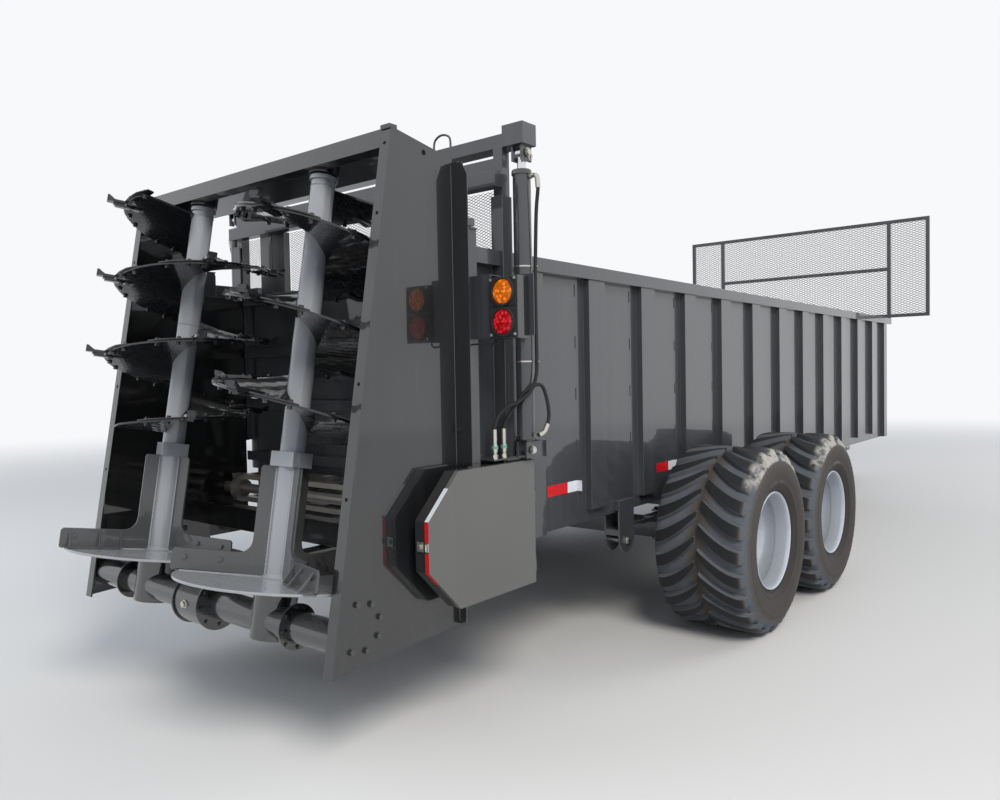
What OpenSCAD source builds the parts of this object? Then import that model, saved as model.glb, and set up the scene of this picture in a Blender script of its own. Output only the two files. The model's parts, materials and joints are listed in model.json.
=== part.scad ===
// Tandem axle manure spreader with two vertical beaters, in millimetres.
// X points forward to the hitch, Y to the left side and Z up; the ground is Z = 0.
// Stations along the length are counted from the rear axle; the whole model is then
// shifted so that the middle of its length is at X = 0.

/* [Wheels] */
// Spacing of the two axles
tandem = 1210; // [1180:5:1400]
// Outside diameter of a tyre
tyre_d = 1150; // [1050:10:1170]
// Width of a tyre across its sidewalls
tyre_w = 600; // [500:10:640]
// Outside diameter of the rim flanges
rim_d = 604; // [560:2:640]
// Width between the outer faces of the rim flanges
rim_w = 530; // [480:5:560]
// Sheet thickness of the rims
rim_t = 12; // [8:1:20]
// Gap between a tyre and the box sheets
tyre_gap = 160; // [135:5:230]
// Height of the tread lugs
lug_h = 34; // [25:1:40]
// Lugs on each half of a tyre
lugs = 24; // [20:1:28]
// Width of a lug around the tyre
lug_w = 76; // [50:2:90]
// Sweep of a lug around the tyre, in degrees
lug_sweep = 16; // [8:1:22]
// Diameter of a wheel spindle
spindle_d = 100; // [80:2:120]
// Diameter of a hub
hub_d = 230; // [180:5:260]

/* [Box] */
// Outside width of the box sheets
box_w = 2130; // [2100:2:2136]
// Station of the front wall
box_front = 5800; // [5780:10:6200]
// Station of the rear edge of the box sheets
box_rear = -1730; // [-1735:1:-1720]
// Height of the bottom edge of the box sheets
box_bottom = 780; // [760:5:790]
// Height of the top of the box rails
box_top = 2235; // [2100:5:2300]
// Thickness of the sheets
sheet = 6; // [4:1:8]
// Height of the floor's top face
floor_top = 1000; // [995:1:1015]
// Width of a side rib along the box
rib_w = 175; // [120:5:200]
// Depth of a side rib
rib_d = 40; // [25:1:50]
// Spacing of the side ribs
rib_pitch = 612; // [600:1:620]
// Station of the rear edge of the first side rib
rib_start = -1004; // [-1020:1:-990]
// Number of side ribs between the posts
rib_count = 11; // [9:1:11]
// Width of the rear and front posts of the box
post_w = 130; // [90:5:150]
// Height of the ribs' lower ends above the bottom edge
rib_lift = 70; // [40:5:100]
// Height of the top rail
rail_h = 75; // [50:5:100]
// Overhang of the top rail outside the sheet
rail_out = 52; // [45:1:60]
// Overhang of the top rail inside the sheet
rail_in = 55; // [30:1:60]
// Station of the front end of the top rails
rail_front = 5990; // [5900:5:6400]

/* [Apron] */
// Width of a chain strand
chain_w = 40; // [30:2:60]
// Height of a slat and of the chain
slat_h = 30; // [20:1:30]
// Width of a slat along the box
slat_w = 50; // [40:2:60]
// Spacing of the slats
slat_pitch = 300; // [250:10:600]
// Radius of the chain's inner side at its ends
turn_r = 55; // [50:1:55]
// Station of the rear chain shaft
rear_shaft_x = -1960; // [-1965:1:-1955]
// Distance from the front wall to the front chain shaft
idler_back = 150; // [120:5:200]
// Diameter of the chain shafts
chain_shaft_d = 60; // [50:2:66]

/* [Rear frame and gate] */
// Station of the rear face of the rear frame
frame_rear = -2100; // [-2105:1:-2095]
// Width along the box of the rear frame's post
frame_post_w = 95; // [70:5:100]
// Depth of the rear frame's post outside the sheet
frame_post_d = 60; // [50:2:60]
// Height of the rear frame's bottom edge
frame_bottom = 640; // [630:5:660]
// Station of the front edge of the rear frame's sheet
frame_front = -1815; // [-1825:1:-1812]
// Height of the fixed guide posts above the ground
guide_top = 2500; // [2400:10:2520]
// Thickness of the fixed guide posts
guide_t = 6; // [4:1:10]
// Thickness of the gate's plate
gate_t = 10; // [6:1:16]
// Height of the gate plate's top edge
gate_plate_top = 2165; // [2050:5:2200]
// Height of the underside of the gate's top beam
gate_beam_z = 2735; // [2730:1:2745]
// Height of the gate's top beam
gate_beam_h = 65; // [50:5:90]
// Side of the gate's upright tubes
upright = 56; // [40:2:56]
// Gap between the gate and the slats under it
gate_gap = 12; // [8:1:30]

/* [Gate cylinders] */
// Distance of a cylinder's axis outside the box sheets
cyl_out = 135; // [133:1:145]
// Station of the cylinders
cyl_x = -1745; // [-1750:1:-1742]
// Outside diameter of a barrel
barrel_d = 89; // [80:1:90]
// Bore of a barrel
barrel_bore = 76; // [60:1:78]
// Diameter of a rod
rod_d = 44; // [30:1:50]
// Height of the lower pin
cyl_foot = 1262; // [1260:1:1290]
// Height of the rod's pin with the gate shut
cyl_head = 2700; // [2695:1:2705]
// Diameter of both pins
cyl_pin_d = 25; // [20:1:30]
// Thickness of an ear that holds a pin
ear_t = 10; // [8:1:12]
// Thickness of the eyes at both ends of a cylinder
eye_w = 44; // [36:1:44]

/* [Beaters] */
// Lean of the beaters towards the box, in degrees
lean = 9.8; // [9:0.1:10.5]
// Distance of a beater's axis inside the box sheets
beater_in = 545; // [543:1:550]
// Station of a beater's foot
beater_x = -2720; // [-2730:1:-2715]
// Height of a beater's foot, the top of its disc
beater_z = 735; // [730:1:745]
// Length of a beater's tube from the disc to the top bearing
beater_len = 1875; // [1860:5:1880]
// Diameter of a beater's tube
beater_tube_d = 114; // [90:2:130]
// Radius of the disc
disc_r = 450; // [380:5:460]
// Thickness of the disc
disc_t = 12; // [8:1:14]
// Radius reached by the paddles
tip_r = 481; // [460:1:483]
// Direction of the left beater's first paddle, in degrees
left_turn = 165; // [150:1:180]
// Direction of the right beater's first paddle, in degrees and mirrored
right_turn = -12; // [-30:1:30]
// Number of paddles on a disc
paddles = 3; // [3:1:4]
// Outer radius of the flighting
flight_r = 385; // [300:5:400]
// Thickness of the flighting
flight_t = 10; // [6:1:14]
// Rise of the flighting in one turn
flight_pitch = 400; // [360:5:410]
// Turns of the flighting
flight_turns = 3; // [2:0.25:3]
// Height on the beater where the flighting starts
flight_start = 620; // [600:5:640]
// Direction in which the flighting starts, in degrees from the first paddle
flight_phase = 24; // [0:1:60]
// Hammers in one turn of the flighting
hammers_per_turn = 4; // [2:1:6]
// Direction of the first hammer, in degrees from the start of the flighting
hammer_phase = 60; // [30:1:60]
// Width of a hammer's arm
hammer_w = 64; // [40:4:64]
// Thickness of a hammer's arm
hammer_t = 24; // [24:1:34]
// Height of the upright knife at a hammer's tip
knife_h = 90; // [50:5:100]
// Width of the knife
knife_w = 50; // [30:5:60]
// Thickness of the knife
knife_t = 14; // [8:1:20]
// Height of the paddles on the disc
paddle_h = 100; // [60:5:140]
// Thickness of the paddles and fins
paddle_t = 10; // [6:1:14]
// Height of the fins, up to the collar
fin_h = 500; // [420:5:520]
// Reach of the fins from the beater's axis
fin_r = 130; // [100:5:160]
// Side of the square collar above the fins
collar = 150; // [130:5:170]
// Height of the collar
collar_h = 70; // [50:5:80]
// Diameter of the stub shafts at both ends of a beater
stub_d = 60; // [50:2:70]

/* [Beater housing] */
// Thickness of the side plates
housing_t = 8; // [6:1:10]
// Distance of the plates' rear edge from the beater's axis
edge_back = 97; // [95:1:110]
// Reach of the rear edge below the beater's foot
edge_down = 321; // [300:1:330]
// Height of the hood above the beater's tube
hood_gap = 97; // [95:1:110]
// Height of the plates' front bottom corner
housing_front_z = 468; // [450:2:500]
// Width of the flange that runs down the rear edge
edge_flange = 58; // [40:2:58]
// Depth of the flange on the front edge
front_flange = 40; // [30:2:58]
// Height of the beam along the hood's rear edge
hood_beam_h = 85; // [60:5:100]
// Diameter of the drive tube under the beaters
drive_tube_d = 140; // [120:2:150]
// Station of the drive tube
drive_tube_x = -2765; // [-2770:1:-2760]
// Height of the drive tube
drive_tube_z = 560; // [555:1:565]
// Diameter of the bearing housings of a beater
bearing_d = 140; // [120:5:150]

/* [Chassis] */
// Width of a chassis rail
chassis_rail_w = 100; // [80:5:120]
// Height of the underside of the chassis rails
chassis_z = 730; // [726:1:734]
// Height of the chassis rails
chassis_h = 125; // [110:1:125]
// Distance between the chassis rails
chassis_gap = 1000; // [900:10:1040]
// Side of the axle tubes
axle_w = 120; // [100:5:124]
// Distance of a spring's middle inside the box sheets
spring_in = 20; // [19:1:22]
// Width of a spring
spring_w = 76; // [60:2:76]
// Half the length of a spring
spring_half = 530; // [500:5:540]
// Thickness of one leaf
leaf_t = 14; // [10:1:15]
// Width of a spring hanger along the box
hanger_w = 180; // [140:5:190]
// Height of the driveline's axis
driveline_z = 675; // [672:1:678]
// Diameter of the driveline's tube
driveline_d = 60; // [50:2:62]

/* [Drawbar and jack] */
// Station of the hitch pin
hitch_x = 7950; // [7900:10:8400]
// Height of the middle of the hitch
hitch_z = 480; // [460:5:500]
// Diameter of the hitch pin's hole
hitch_bore = 33; // [26:1:40]
// Thickness of a hitch ear
hitch_ear = 25; // [20:1:32]
// Gap between the hitch ears
hitch_gap = 64; // [50:2:80]
// Width of the hitch ears
hitch_w = 110; // [90:5:130]
// Height of the drawbar tubes
bar_h = 150; // [130:5:160]
// Width of the drawbar tubes
bar_w = 100; // [80:5:110]
// Station of the parking jack
jack_x = 7050; // [7000:10:7100]
// Distance of the parking jack from the centre line
jack_y = 370; // [360:5:420]
// Side of the jack's outer tube
jack_tube_w = 90; // [86:2:100]
// Side of the jack's leg
jack_leg_w = 74; // [60:2:74]
// Side of the jack's foot
jack_foot_w = 240; // [200:10:260]
// Height of the jack's outer tube above the ground
jack_tube_z = 340; // [330:5:350]
// Length of the jack's outer tube
jack_tube_l = 700; // [650:10:750]
// Diameter of the splined input shaft
input_d = 44.45; // [34:0.05:46]
// Station of the input shaft's front end
input_front = 6480; // [6460:10:6500]
// Length of the splined input shaft
input_l = 130; // [100:5:140]

/* [Guard, lamps and screen] */
// Front edge of the guard
guard_front = -1694; // [-1698:1:-1690]
// Length of the guard
guard_l = 756; // [740:2:770]
// Height of the guard's bottom edge
guard_z = 600; // [590:2:602]
// Height of the guard
guard_h = 608; // [590:2:610]
// Slant of the guard's rear corners
guard_slant = 195; // [150:5:220]
// Depth of the guard's box
guard_depth = 58; // [50:1:62]
// Thickness of the guard's sheet
guard_t = 4; // [3:1:6]
// Thickness of the guard's lid
lid_t = 24; // [18:1:28]
// Radius of the guard's hinge
hinge_r = 7; // [5:1:8]
// Height of the lamp boxes' underside
lamp_z = 1792; // [1700:5:1850]
// Distance of the lamp boxes outside the box sheets
lamp_out = 185; // [175:2:215]
// Width of a lamp box
lamp_box_w = 162; // [150:2:180]
// Height of a lamp box
lamp_box_h = 278; // [260:2:300]
// Diameter of a lamp
lamp_d = 112; // [90:2:120]
// Half the width of the spill screen
screen_half = 1540; // [1400:10:1600]
// Height of the spill screen's top
screen_top = 3450; // [3200:10:3600]
// Height of the spill screen's lower tube
screen_low = 2245; // [2240:5:2300]
// Height of the spill screen's middle tube
screen_mid = 2830; // [2700:10:2900]
// Side of the spill screen's tubes
screen_tube = 40; // [30:2:50]
// Thickness of the expanded metal
mesh_t = 6; // [3:1:10]
// Width of the expanded metal's strands in this model
strand_w = 12; // [6:1:20]
// Spacing of the expanded metal's strands in this model
mesh_pitch = 160; // [100:5:240]

/* [Hidden] */

// Gap at running and seated round faces, and the reach of a cutter past the face it cuts
fit = 0.3;
cut = 1;
right = -1;
left = 1;
charcoal = [0.24, 0.26, 0.28];
black_paint = [0.05, 0.055, 0.06];
rubber = [0.09, 0.09, 0.10];
silver = [0.72, 0.74, 0.76];
zinc = [0.75, 0.75, 0.72];

tyre_r = tyre_d / 2;
half_w = box_w / 2;
inner_w = half_w - sheet;
wall_top = box_top - rail_h;
half_track = half_w + tyre_gap + tyre_w / 2;
cyl_y = half_w + cyl_out;
beater_y = half_w - beater_in;
spring_y = half_w - spring_in;
lamp_y = half_w + lamp_out;
hood_up = beater_len + hood_gap;
rear_post_x = box_rear + 150;
rear_reach = beater_x + (tip_r * cos(left_turn) - paddle_t / 2 * sin(left_turn)) * cos(lean);
front_reach = hitch_x + hitch_w / 2;
middle_x = (rear_reach + front_reach) / 2;

chain_axis_z = floor_top - turn_r;
chain_r = turn_r + slat_h;
front_shaft_x = box_front - idler_back;
slat_half = inner_w - 50;
chain_places = [-0.88, -0.33, 0.33, 0.88];

gate_x = -1770;
gate_foot = floor_top + slat_h + gate_gap;
upright_y = half_w + 3;
guard_top = guard_z + guard_h;
hinge_x = guard_front + 12;
hinge_y = -half_w - frame_post_d - guard_depth - 12;
ear_z = guard_top + 14;
ear_h = 80;
ear_reach = 40;
gate_end_y = cyl_y + 50;
gate_window_y = upright_y - 468;
gate_tube_z = gate_beam_z - 195;
gate_rib_pitch = (gate_plate_top - gate_foot - 120) / 3;

bolster_xs = [-1400, -600, 605, 1810, 3000, 4200, 5300];
bearing_xs = [-1400, 3000, 5300];
bolster_h = 60;
bolster_w = 80;
chassis_top = chassis_z + chassis_h;
hub_z = tyre_r;
pad_h = 15;
leaf_base = hub_z + axle_w / 2 + pad_h;
leaf_lengths = [0.45, 0.7, 1];
main_leaf_z = leaf_base + 2 * leaf_t;

input_back = -2640;
tie_x = 6200;
leg_from = [box_front + 30, chassis_gap / 2 + chassis_rail_w / 2, chassis_z + chassis_h / 2];
leg_to = [hitch_x - 250, 80, hitch_z];

hood_rear = lean_point(-edge_back, hood_up);
hood_front_run = (frame_rear - beater_x - hood_up * sin(lean)) / cos(lean);
hood_front = lean_point(hood_front_run, hood_up);
edge_foot = lean_point(-edge_back, -edge_down);

// A point of the leaning plane of a beater, given across and along its axis, as [X, Z]
function lean_point(across, along) = [
    beater_x + across * cos(lean) + along * sin(lean),
    beater_z - across * sin(lean) + along * cos(lean)
];

module machine() {
    translate([-middle_x, 0, 0]) children();
}

module both_sides() {
    children();
    mirror([0, 1, 0]) children();
}

// A box from its low corner to its high corner
module block(low, high) {
    translate(low) cube(high - low);
}

// A square tube, drawn solid, with its axis from one point to another
module beam(from, to, w, h) {
    d = to - from;
    translate(from)
        rotate([0, -atan2(d.z, norm([d.x, d.y])), atan2(d.y, d.x)])
            translate([0, -w / 2, -h / 2]) cube([norm(d), w, h]);
}

// A round bar or hole along Y
module across(x, z, from_y, to_y, dia) {
    translate([x, from_y, z]) rotate([-90, 0, 0]) cylinder(d = dia, h = to_y - from_y, $fn = 48);
}

// A round bar or hole along X
module along(from_x, to_x, y, z, dia) {
    translate([from_x, y, z]) rotate([0, 90, 0]) cylinder(d = dia, h = to_x - from_x, $fn = 48);
}

module at_wheel(axle, side) {
    machine()
        translate([axle * tandem, side * half_track, tyre_r]) rotate([-90 * side, 0, 0]) children();
}

module at_beater(side) {
    machine()
        translate([beater_x, side * beater_y, beater_z]) rotate([0, lean, 0]) children();
}

// A round tube along a list of points, with square-cut ends
module swept_tube(points, dia) {
    n = len(points);
    facets = 8;
    function way(i) = points[min(i + 1, n - 1)] - points[max(i - 1, 0)];
    function unit(v) = v / norm(v);
    rings = [
        for (i = [0:n - 1])
            let (t = unit(way(i)), s = unit(cross(t, [0.3, 0.1, 0.05])), u = cross(t, s))
                for (k = [0:facets - 1])
                    points[i] + dia / 2 * (cos(360 * k / facets) * s + sin(360 * k / facets) * u)
    ];
    skin = [
        for (i = [0:n - 2], k = [0:facets - 1])
            let (a = i * facets + k, b = i * facets + (k + 1) % facets)
                [a, a + facets, b + facets, b]
    ];
    first = [[for (k = [0:facets - 1]) k]];
    last = [[for (k = [facets - 1:-1:0]) (n - 1) * facets + k]];
    polyhedron(points = rings, faces = concat(skin, first, last));
}

// Wheels

module tyre() {
    seat = rim_d / 2 - 16 + fit;
    bead = rim_w / 2 - rim_t;
    half = tyre_w / 2;
    tread_r = tyre_r - lug_h;
    color(rubber) {
        rotate_extrude($fn = 72)
            polygon([
                [seat, -bead + 6], [rim_d / 2 + 3, -bead + 2], [rim_d / 2 + 20, -0.9 * half],
                [rim_d / 2 + 100, -half], [tyre_r - 110, -half], [tread_r - 15, -0.9 * half],
                [tread_r, -0.7 * half], [tread_r, 0.7 * half], [tread_r - 15, 0.9 * half],
                [tyre_r - 110, half], [rim_d / 2 + 100, half], [rim_d / 2 + 20, 0.9 * half],
                [rim_d / 2 + 3, bead - 2], [seat, bead - 6]
            ]);
        for (i = [0:lugs - 1]) {
            rotate(360 * i / lugs) lug();
            rotate(360 * (i + 0.5) / lugs) mirror([0, 0, 1]) lug();
        }
    }
}

// A lug of one half of the tread, from near the middle to the shoulder
module lug() {
    root = tyre_r - lug_h - 12;
    half = asin(lug_w / 2 / tyre_r);
    // Height along the wheel's axis and turn of each of its three sections
    sections = [[12, 0], [0.22 * tyre_w, 0.66 * lug_sweep], [0.44 * tyre_w, lug_sweep]];
    corners = [[root, -half], [tyre_r, -half], [tyre_r, half], [root, half]];
    points = [
        for (section = sections, corner = corners)
            let (a = section[1] + corner[1])
                [corner[0] * cos(a), corner[0] * sin(a), section[0]]
    ];
    skin = [
        for (i = [0:1], k = [0:3])
            let (a = 4 * i + k, b = 4 * i + (k + 1) % 4)
                each [[a, a + 4, b], [b, a + 4, b + 4]]
    ];
    polyhedron(points = points, faces = concat([[0, 1, 2, 3]], skin, [[11, 10, 9, 8]]));
}

module rim() {
    flange = rim_d / 2;
    seat = flange - 16;
    half = rim_w / 2;
    well = seat - 45;
    hub_back = half_track - half_w - 75;
    color(silver)
        difference() {
            rotate_extrude($fn = 72)
                polygon([
                    [0, -30], [0, -30 + rim_t], [well - rim_t, -30 + rim_t], [well - rim_t, 60],
                    [seat - rim_t, 100], [seat - rim_t, half - rim_t], [flange - 8, half],
                    [flange, half], [flange, half - rim_t], [seat, half - rim_t - 4],
                    [seat, 0.3 * half], [well, 40], [well, -60], [seat, -0.3 * half],
                    [seat, rim_t + 4 - half], [flange, rim_t - half], [flange, -half],
                    [flange - 8, -half], [seat - rim_t, rim_t - half], [seat - rim_t, -100],
                    [well - rim_t, -60], [well - rim_t, -30], [hub_d / 2, -30],
                    [hub_d / 2, -hub_back], [0, -hub_back]
                ]);
            translate([0, 0, -hub_back - cut])
                cylinder(d = spindle_d + 2 * fit, h = hub_back - 60, $fn = 48);
        }
}

module tyre_right_rear() { at_wheel(0, right) tyre(); }
module tyre_right_front() { at_wheel(1, right) tyre(); }
module tyre_left_rear() { at_wheel(0, left) mirror([0, 1, 0]) tyre(); }
module tyre_left_front() { at_wheel(1, left) mirror([0, 1, 0]) tyre(); }
module rim_right_rear() { at_wheel(0, right) rim(); }
module rim_right_front() { at_wheel(1, right) rim(); }
module rim_left_rear() { at_wheel(0, left) rim(); }
module rim_left_front() { at_wheel(1, left) rim(); }

// Box

module side_wall() {
    outer = half_w + rib_d;
    back_plate = box_rear + 90;
    difference() {
        union() {
            block([box_rear, inner_w, box_bottom], [box_front, half_w, wall_top]);
            block([rear_post_x, half_w, box_bottom], [rear_post_x + post_w, outer, wall_top]);
            block([box_front - post_w, half_w, box_bottom], [box_front, outer, wall_top]);
            for (i = [0:rib_count - 1])
                let (x = rib_start + i * rib_pitch)
                    block([x, half_w, box_bottom + rib_lift], [x + rib_w, outer, wall_top]);
            block([back_plate, half_w, ear_z], [back_plate + ear_t, cyl_y + 45, ear_z + ear_h]);
            for (y = [cyl_y - eye_w / 2 - ear_t, cyl_y + eye_w / 2])
                block([cyl_x - ear_reach, y, ear_z], [back_plate, y + ear_t, ear_z + ear_h]);
        }
        across(cyl_x, cyl_foot, half_w + rib_d, cyl_y + 60, cyl_pin_d + 2 * fit);
    }
}

module left_wall() { color(charcoal) machine() side_wall(); }
module right_wall() { color(charcoal) machine() mirror([0, 1, 0]) side_wall(); }

module front_wall() {
    rail_y = half_w - rail_in;
    front_rib_pitch = (rail_y - 130) / 2;
    color(charcoal) machine() {
        block([box_front - sheet, -inner_w, chassis_top], [box_front, inner_w, wall_top]);
        block([box_front - rail_in, -rail_y, wall_top], [box_front + 60, rail_y, box_top]);
        for (i = [-2:2])
            block([box_front, i * front_rib_pitch - 40, chassis_top + 30],
                  [box_front + 50, i * front_rib_pitch + 40, wall_top]);
    }
}

module top_rails() {
    color(charcoal) machine() both_sides() {
        block([box_rear, half_w - rail_in, wall_top], [rail_front, half_w + rail_out, box_top]);
        block([frame_rear + frame_post_w, inner_w, wall_top],
              [frame_front - guide_t, half_w + rail_out, box_top]);
    }
}

module floor() {
    under = floor_top - sheet;
    color(charcoal) machine() {
        block([rear_shaft_x + chain_r + 10, -inner_w, under],
              [front_shaft_x - chain_r - 10, inner_w, floor_top]);
        for (x = bolster_xs)
            block([x, -inner_w, under - bolster_h], [x + bolster_w, inner_w, under]);
    }
}

// Apron

module chain_loop(reach) {
    rotate([90, 0, 0])
        linear_extrude(chain_w, center = true)
            difference() {
                chain_outline(chain_r);
                chain_outline(turn_r);
            }
}

module chain_outline(r) {
    translate([rear_shaft_x, chain_axis_z - r]) square([front_shaft_x - rear_shaft_x, 2 * r]);
    translate([rear_shaft_x, chain_axis_z]) circle(r, $fn = 32);
    translate([front_shaft_x, chain_axis_z]) circle(r, $fn = 32);
}

module apron() {
    slats = floor((front_shaft_x - rear_shaft_x - slat_w) / slat_pitch);
    color([0.35, 0.34, 0.32]) machine() {
        for (place = chain_places)
            translate([0, place * slat_half, 0]) chain_loop();
        for (i = [0:slats])
            let (x = rear_shaft_x + i * slat_pitch) {
                block([x, -slat_half, floor_top], [x + slat_w, slat_half, floor_top + slat_h]);
                block([x, -slat_half, chain_axis_z - chain_r],
                      [x + slat_w, slat_half, chain_axis_z - turn_r]);
            }
    }
}

module apron_shafts() {
    color(silver) machine() {
        across(rear_shaft_x, chain_axis_z, -half_w - frame_post_d - 40, half_w + 30, chain_shaft_d);
        across(rear_shaft_x, chain_axis_z, -half_w - frame_post_d - 40, -half_w - frame_post_d - 24, 300);
        across(front_shaft_x, chain_axis_z, -inner_w, inner_w, chain_shaft_d);
        for (place = chain_places, x = [rear_shaft_x, front_shaft_x])
            across(x, chain_axis_z, place * slat_half - 15, place * slat_half + 15, 2 * (turn_r - fit));
    }
}

// Chassis, axles and springs

module chassis() {
    color(charcoal) machine() {
        difference() {
            union() {
                both_sides()
                    block([frame_rear + 90, chassis_gap / 2, chassis_z],
                          [box_front, chassis_gap / 2 + chassis_rail_w, chassis_top]);
                for (x = bolster_xs)
                    block([x - bolster_w / 2, -inner_w, chassis_top - bolster_h],
                          [x + bolster_w / 2, inner_w, chassis_top]);
                for (x = bearing_xs)
                    block([x - 30, -60, driveline_z - 60], [x + 30, 60, chassis_top - bolster_h]);
            }
            along(bearing_xs[0] - 60, box_front, 0, driveline_z, driveline_d + 2 * fit);
        }
    }
}

module axles() {
    color(charcoal) machine()
        for (x = [0, tandem]) {
            block([x - axle_w / 2, -half_w - 60, hub_z - axle_w / 2],
                  [x + axle_w / 2, half_w + 60, hub_z + axle_w / 2]);
            both_sides() {
                across(x, hub_z, half_w + 60, half_track - 70, spindle_d);
                block([x - 70, spring_y - spring_w / 2, hub_z + axle_w / 2],
                      [x + 70, spring_y + spring_w / 2, leaf_base]);
            }
        }
}

module springs() {
    color(black_paint) machine()
        for (x = [0, tandem])
            both_sides()
                for (i = [0:2])
                    let (reach = leaf_lengths[i] * spring_half, z = leaf_base + i * leaf_t)
                        block([x - reach, spring_y - spring_w / 2, z],
                              [x + reach, spring_y + spring_w / 2, z + leaf_t]);
}

// The hangers stand before, between and behind the springs
module spring_hangers() {
    plates = [spring_y - spring_w / 2 - 15, spring_y + spring_w / 2 + 5];
    places = [bolster_xs[1], tandem / 2, tandem + spring_half + 70];
    foot = hub_z + 45;
    color(charcoal) machine()
        both_sides()
            for (x = places) {
                for (y = plates)
                    across(x, foot, y, y + 10, hanger_w);
                block([x - hanger_w / 2, plates[0], foot], [x + hanger_w / 2, plates[0] + 10, chassis_top - bolster_h]);
                block([x - hanger_w / 2, plates[1], foot], [x + hanger_w / 2, plates[1] + 10, chassis_top]);
                block([x - hanger_w / 2, half_w, chassis_top - bolster_h], [x + hanger_w / 2, plates[1], chassis_top]);
                block([x - hanger_w / 2, plates[0] + 10, foot + 20], [x + hanger_w / 2, plates[1], main_leaf_z - fit]);
            }
}

// Rear frame

module rear_frame_side() {
    guide_y = half_w + 72;
    difference() {
        union() {
            block([frame_rear, inner_w, frame_bottom], [frame_front, half_w, wall_top]);
            block([frame_rear, half_w, frame_bottom],
                  [frame_rear + frame_post_w, half_w + frame_post_d, box_top + rail_h]);
            block([frame_front - guide_t, half_w, frame_bottom],
                  [frame_front, half_w + frame_post_d - 5, ear_z]);
            block([frame_front - guide_t, half_w, ear_z], [frame_front, guide_y, guide_top]);
            block([frame_front, guide_y - guide_t, ear_z], [frame_front + 70, guide_y, guide_top]);
        }
        across(rear_shaft_x, chain_axis_z, inner_w - cut, half_w + cut, chain_shaft_d + 2 * fit);
    }
}

module rear_frame() {
    color(charcoal) machine() {
        rear_frame_side();
        mirror([0, 1, 0]) rear_frame_side();
        block([frame_rear, -inner_w, driveline_z + 40], [frame_rear + 90, inner_w, chassis_top - 5]);
    }
}

// Gate

module gate_panel() {
    low = gate_plate_top - 5;
    color(charcoal) machine() {
        block([gate_x, -upright_y, gate_foot], [gate_x + gate_t, upright_y, gate_plate_top]);
        strands(gate_x, -gate_window_y, low, gate_window_y, gate_tube_z);
        both_sides() strands(gate_x, gate_window_y + 245, low, upright_y, gate_tube_z);
    }
}

module gate_frame() {
    rear = gate_x - 30;
    color(charcoal) machine() {
        both_sides() {
            block([rear, upright_y, ear_z + 8], [rear + upright, upright_y + upright, gate_beam_z]);
            block([rear, upright_y + upright, gate_beam_z],
                  [rear + 110, gate_end_y, gate_beam_z + gate_beam_h + 38]);
            difference() {
                for (y = [cyl_y - eye_w / 2 - ear_t, cyl_y + eye_w / 2])
                    block([cyl_x - ear_reach, y, cyl_head - 40], [cyl_x + ear_reach, y + ear_t, gate_beam_z]);
                across(cyl_x, cyl_head, cyl_y - 60, cyl_y + 60, cyl_pin_d + 2 * fit);
            }
            for (y = [gate_window_y, gate_window_y + 125])
                block([rear - 15, y, gate_plate_top], [gate_x, y + 120, gate_tube_z]);
        }
        for (i = [0:3])
            let (z = gate_foot + 60 + i * gate_rib_pitch)
                block([rear - 25, -inner_w + 20, z], [gate_x, inner_w - 20, z + 60]);
        block([rear, -upright_y - upright, gate_beam_z],
              [rear + 100, upright_y + upright, gate_beam_z + gate_beam_h]);
        block([rear - 60, -upright_y - upright, gate_tube_z],
              [rear, upright_y + upright, gate_beam_z - 120]);
        block([rear, -upright_y, gate_tube_z], [rear + guide_t, upright_y, gate_beam_z - 45]);
    }
}

module gate_rods() {
    top = cyl_head - 20;
    foot = cyl_foot + 110;
    color(silver) machine()
        both_sides() {
            translate([cyl_x, cyl_y, foot]) cylinder(d = rod_d, h = top - foot, $fn = 48);
            translate([cyl_x, cyl_y, foot]) cylinder(d = barrel_bore - 2 * fit, h = 30, $fn = 48);
            across(cyl_x, cyl_head, cyl_y - eye_w / 2 + fit, cyl_y + eye_w / 2 - fit, 60);
            across(cyl_x, cyl_head, cyl_y - 45, cyl_y + 45, cyl_pin_d);
        }
}

module gate_cylinders() {
    base = cyl_foot + 50;
    cap = cyl_head - 85;
    color(charcoal) machine()
        both_sides() {
            difference() {
                union() {
                    translate([cyl_x, cyl_y, base]) cylinder(d = barrel_d, h = cap - base, $fn = 48);
                    translate([cyl_x - 22, cyl_y - eye_w / 2 + fit, cyl_foot])
                        cube([44, eye_w - 2 * fit, base - cyl_foot]);
                }
                translate([cyl_x, cyl_y, base + 20])
                    cylinder(d = barrel_bore, h = cap - base - 60, $fn = 48);
                translate([cyl_x, cyl_y, base + 40])
                    cylinder(d = rod_d + 2 * fit, h = cap - base, $fn = 48);
            }
            across(cyl_x, cyl_foot, cyl_y - eye_w / 2 + fit, cyl_y + eye_w / 2 - fit, 56);
            across(cyl_x, cyl_foot, cyl_y - 45, cyl_y + 45, cyl_pin_d);
            for (z = [port_low, port_high])
                across(cyl_x, z, cyl_y + barrel_bore / 2 + 1, port_y + 6, 28);
        }
}

// Hoses of the gate cylinders

hose_d = 18;
coupler_x = [-1930, -1860];
coupler_y = half_w + 85;
coupler_foot = ear_z;
coupler_top = coupler_foot + 112;
port_y = cyl_y + barrel_d / 2;
port_low = cyl_foot + 75;
port_high = cyl_head - 115;

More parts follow.
